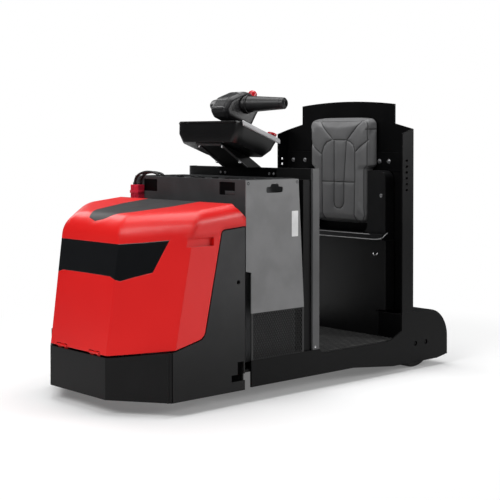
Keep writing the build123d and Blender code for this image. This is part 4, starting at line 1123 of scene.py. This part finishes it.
def soften_node(name):
    """Breaks the sharp edges of a CAD node, as coated sheet and castings have them."""
    obj = nodes[name]
    weld = obj.modifiers.new("weld", "WELD")
    weld.merge_threshold = MERGE_DISTANCE
    flats = obj.modifiers.new("whole_faces", "DECIMATE")
    flats.decimate_type = "DISSOLVE"
    flats.angle_limit = FLAT_ANGLE
    bevel = obj.modifiers.new("edge", "BEVEL")
    bevel.width = EDGE_ROUNDING
    bevel.segments = 2
    bevel.limit_method = "ANGLE"
    bevel.angle_limit = radians(35.0)
    sheet = name in SHEET_NODES
    if not sheet:
        normals = obj.modifiers.new("flats", "WEIGHTED_NORMAL")
        normals.keep_sharp = False
    obj.data.polygons.foreach_set("use_smooth", [not sheet] * len(obj.data.polygons))


def dress_nodes():
    """Gives each CAD node the finish of its slot, and four kinds of node their own."""
    looks = {part["node"]: FINISHES[part["material_slot"]]
             for part in frame["record"]["subparts"]}
    looks["hood_hinges"] = FINISHES["hood_red"]
    looks["console_top"] = FINISHES["console_black"]
    # Dash wall: black, its side flanges grey plate lightened past the plate's grey by a painted
    # reflection.
    looks["dash_wall"] = banded_coat("dash_flange_painted_reflection", ACROSS, 0.3872, 0.3878,
                                     (0.0024, 0.0024, 0.0026), (0.065, 0.065, 0.067))
    # Battery panels: near black below the grille's top, a painted shade behind the grille, and
    # grey above it.
    looks["battery_panel_left"] = looks["battery_panel_right"] = banded_coat(
        "panel_painted_shade_under_grille", UPWARD, GRILLE_HEAD_Z, 0.3476, (0.006, 0.006, 0.006),
        (0.155, 0.155, 0.157))
    for node, look in looks.items():
        nodes[node].data.materials.clear()
        nodes[node].data.materials.append(look)


# Studio

CAMERA_PLACE = (3.798, -3.408, 1.030)
CAMERA_AZIMUTH, CAMERA_DOWN = radians(47.93), radians(1.087)
PAPER_LIFT = 0.16
PAPER_FADE = (0.9, 1.9)
WORLD_FILL = 0.09
SOFTBOXES = (
    ("key", (0.6, -4.2, 3.6), (0, -0.4, 0.5), (2.6, 2.2), 135),
    ("flank", (3.7, 2.8, 1.75), (0.3, 0.0, 0.6), (2.2, 1.3), 92),
    ("top", (-0.2, 0.2, 3.8), (0, 0.1, 0.4), (3.0, 3.0), 120),
    ("rim", (-4.0, 0.2, 2.8), (0, 0.2, 0.7), (1.8, 2.0), 40),
)


def studio_paper():
    """White paper: it keeps the soft shadow near the tug and is pure white further off."""
    paper = Finish("studio_paper")
    x, y, _ = paper.axes()
    far = (((x + 0.1) * 0.9) ** 2 + (y * 0.8) ** 2) ** 0.5
    paper.put(Base_Color=(0.80, 0.80, 0.80), Roughness=0.9, Specular_IOR_Level=0.0)
    lit = paper.shader.outputs[0]
    lift = paper.add("ShaderNodeEmission", {}, {"Color": (1.0, 1.0, 1.0), "Strength": PAPER_LIFT})
    glow = paper.add("ShaderNodeEmission", {}, {"Color": (1.0, 1.0, 1.0)})
    lifted = paper.add("ShaderNodeAddShader", {}, {0: lit, 1: lift.outputs[0]})
    shown = paper.add("ShaderNodeMixShader", {}, {
        0: far.step(*PAPER_FADE), 1: lifted.outputs[0], 2: glow.outputs[0]})
    seen = paper.add("ShaderNodeLightPath").outputs["Is Camera Ray"]
    both = paper.add("ShaderNodeMixShader", {}, {0: seen, 1: lit, 2: shown.outputs[0]})
    paper.set(paper.output, 0, both.outputs[0])
    return paper.material


def add_floor():
    only()
    bpy.ops.mesh.primitive_plane_add(size=60, location=(0, 0, -0.0005))
    floor = settle(bpy.context.object, "studio_floor")
    floor.data.materials.append(studio_paper())


def add_camera():
    """The photograph's viewpoint, found from the known widths and heights of the tug."""
    lens = bpy.data.cameras.new("viewpoint")
    lens.lens = 85.0
    lens.sensor_width = 36.0
    lens.shift_y = -0.1785
    lens.clip_end = 200
    camera = new_object("viewpoint", lens)
    camera.location = CAMERA_PLACE
    camera.rotation_euler = (pi / 2 - CAMERA_DOWN, 0.0, CAMERA_AZIMUTH)
    bpy.context.scene.camera = camera


def add_softbox(name, place, target, size, power):
    light = bpy.data.lights.new(name, "AREA")
    light.shape = "RECTANGLE"
    light.size, light.size_y = size
    light.energy = power
    lamp = new_object(name, light)
    lamp.location = place
    lamp.rotation_euler = (Vector(target) - Vector(place)).to_track_quat("-Z", "Y").to_euler()


def light_studio():
    """Four softboxes and a little fill, with the world white to the camera alone."""
    scene = bpy.context.scene
    scene.view_settings.view_transform = "Standard"
    world = bpy.data.worlds.new("studio")
    scene.world = world
    world.use_nodes = True
    tree = world.node_tree
    tree.nodes.clear()
    output = tree.nodes.new("ShaderNodeOutputWorld")
    white = tree.nodes.new("ShaderNodeBackground")
    white.inputs[0].default_value = (1, 1, 1, 1)
    fill = tree.nodes.new("ShaderNodeBackground")
    fill.inputs[0].default_value = (0.95, 0.97, 1.0, 1)
    fill.inputs[1].default_value = WORLD_FILL
    path = tree.nodes.new("ShaderNodeLightPath")
    mix = tree.nodes.new("ShaderNodeMixShader")
    tree.links.new(path.outputs["Is Camera Ray"], mix.inputs[0])
    tree.links.new(fill.outputs[0], mix.inputs[1])
    tree.links.new(white.outputs[0], mix.inputs[2])
    tree.links.new(mix.outputs[0], output.inputs[0])
    for softbox in SOFTBOXES:
        add_softbox(*softbox)


add_camera()
add_leads()
light_studio()
add_floor()
dress_nodes()
add_cushion()
add_mat()
add_tyres()
add_screws()
add_wheel_covers()
add_grilles()
add_battery_top()
add_lift_pockets()
add_plug_ribs()
add_pod()
add_handle_details()
add_console_details()
add_blank_label()
add_seat_details()
for name in nodes:
    soften_node(name)
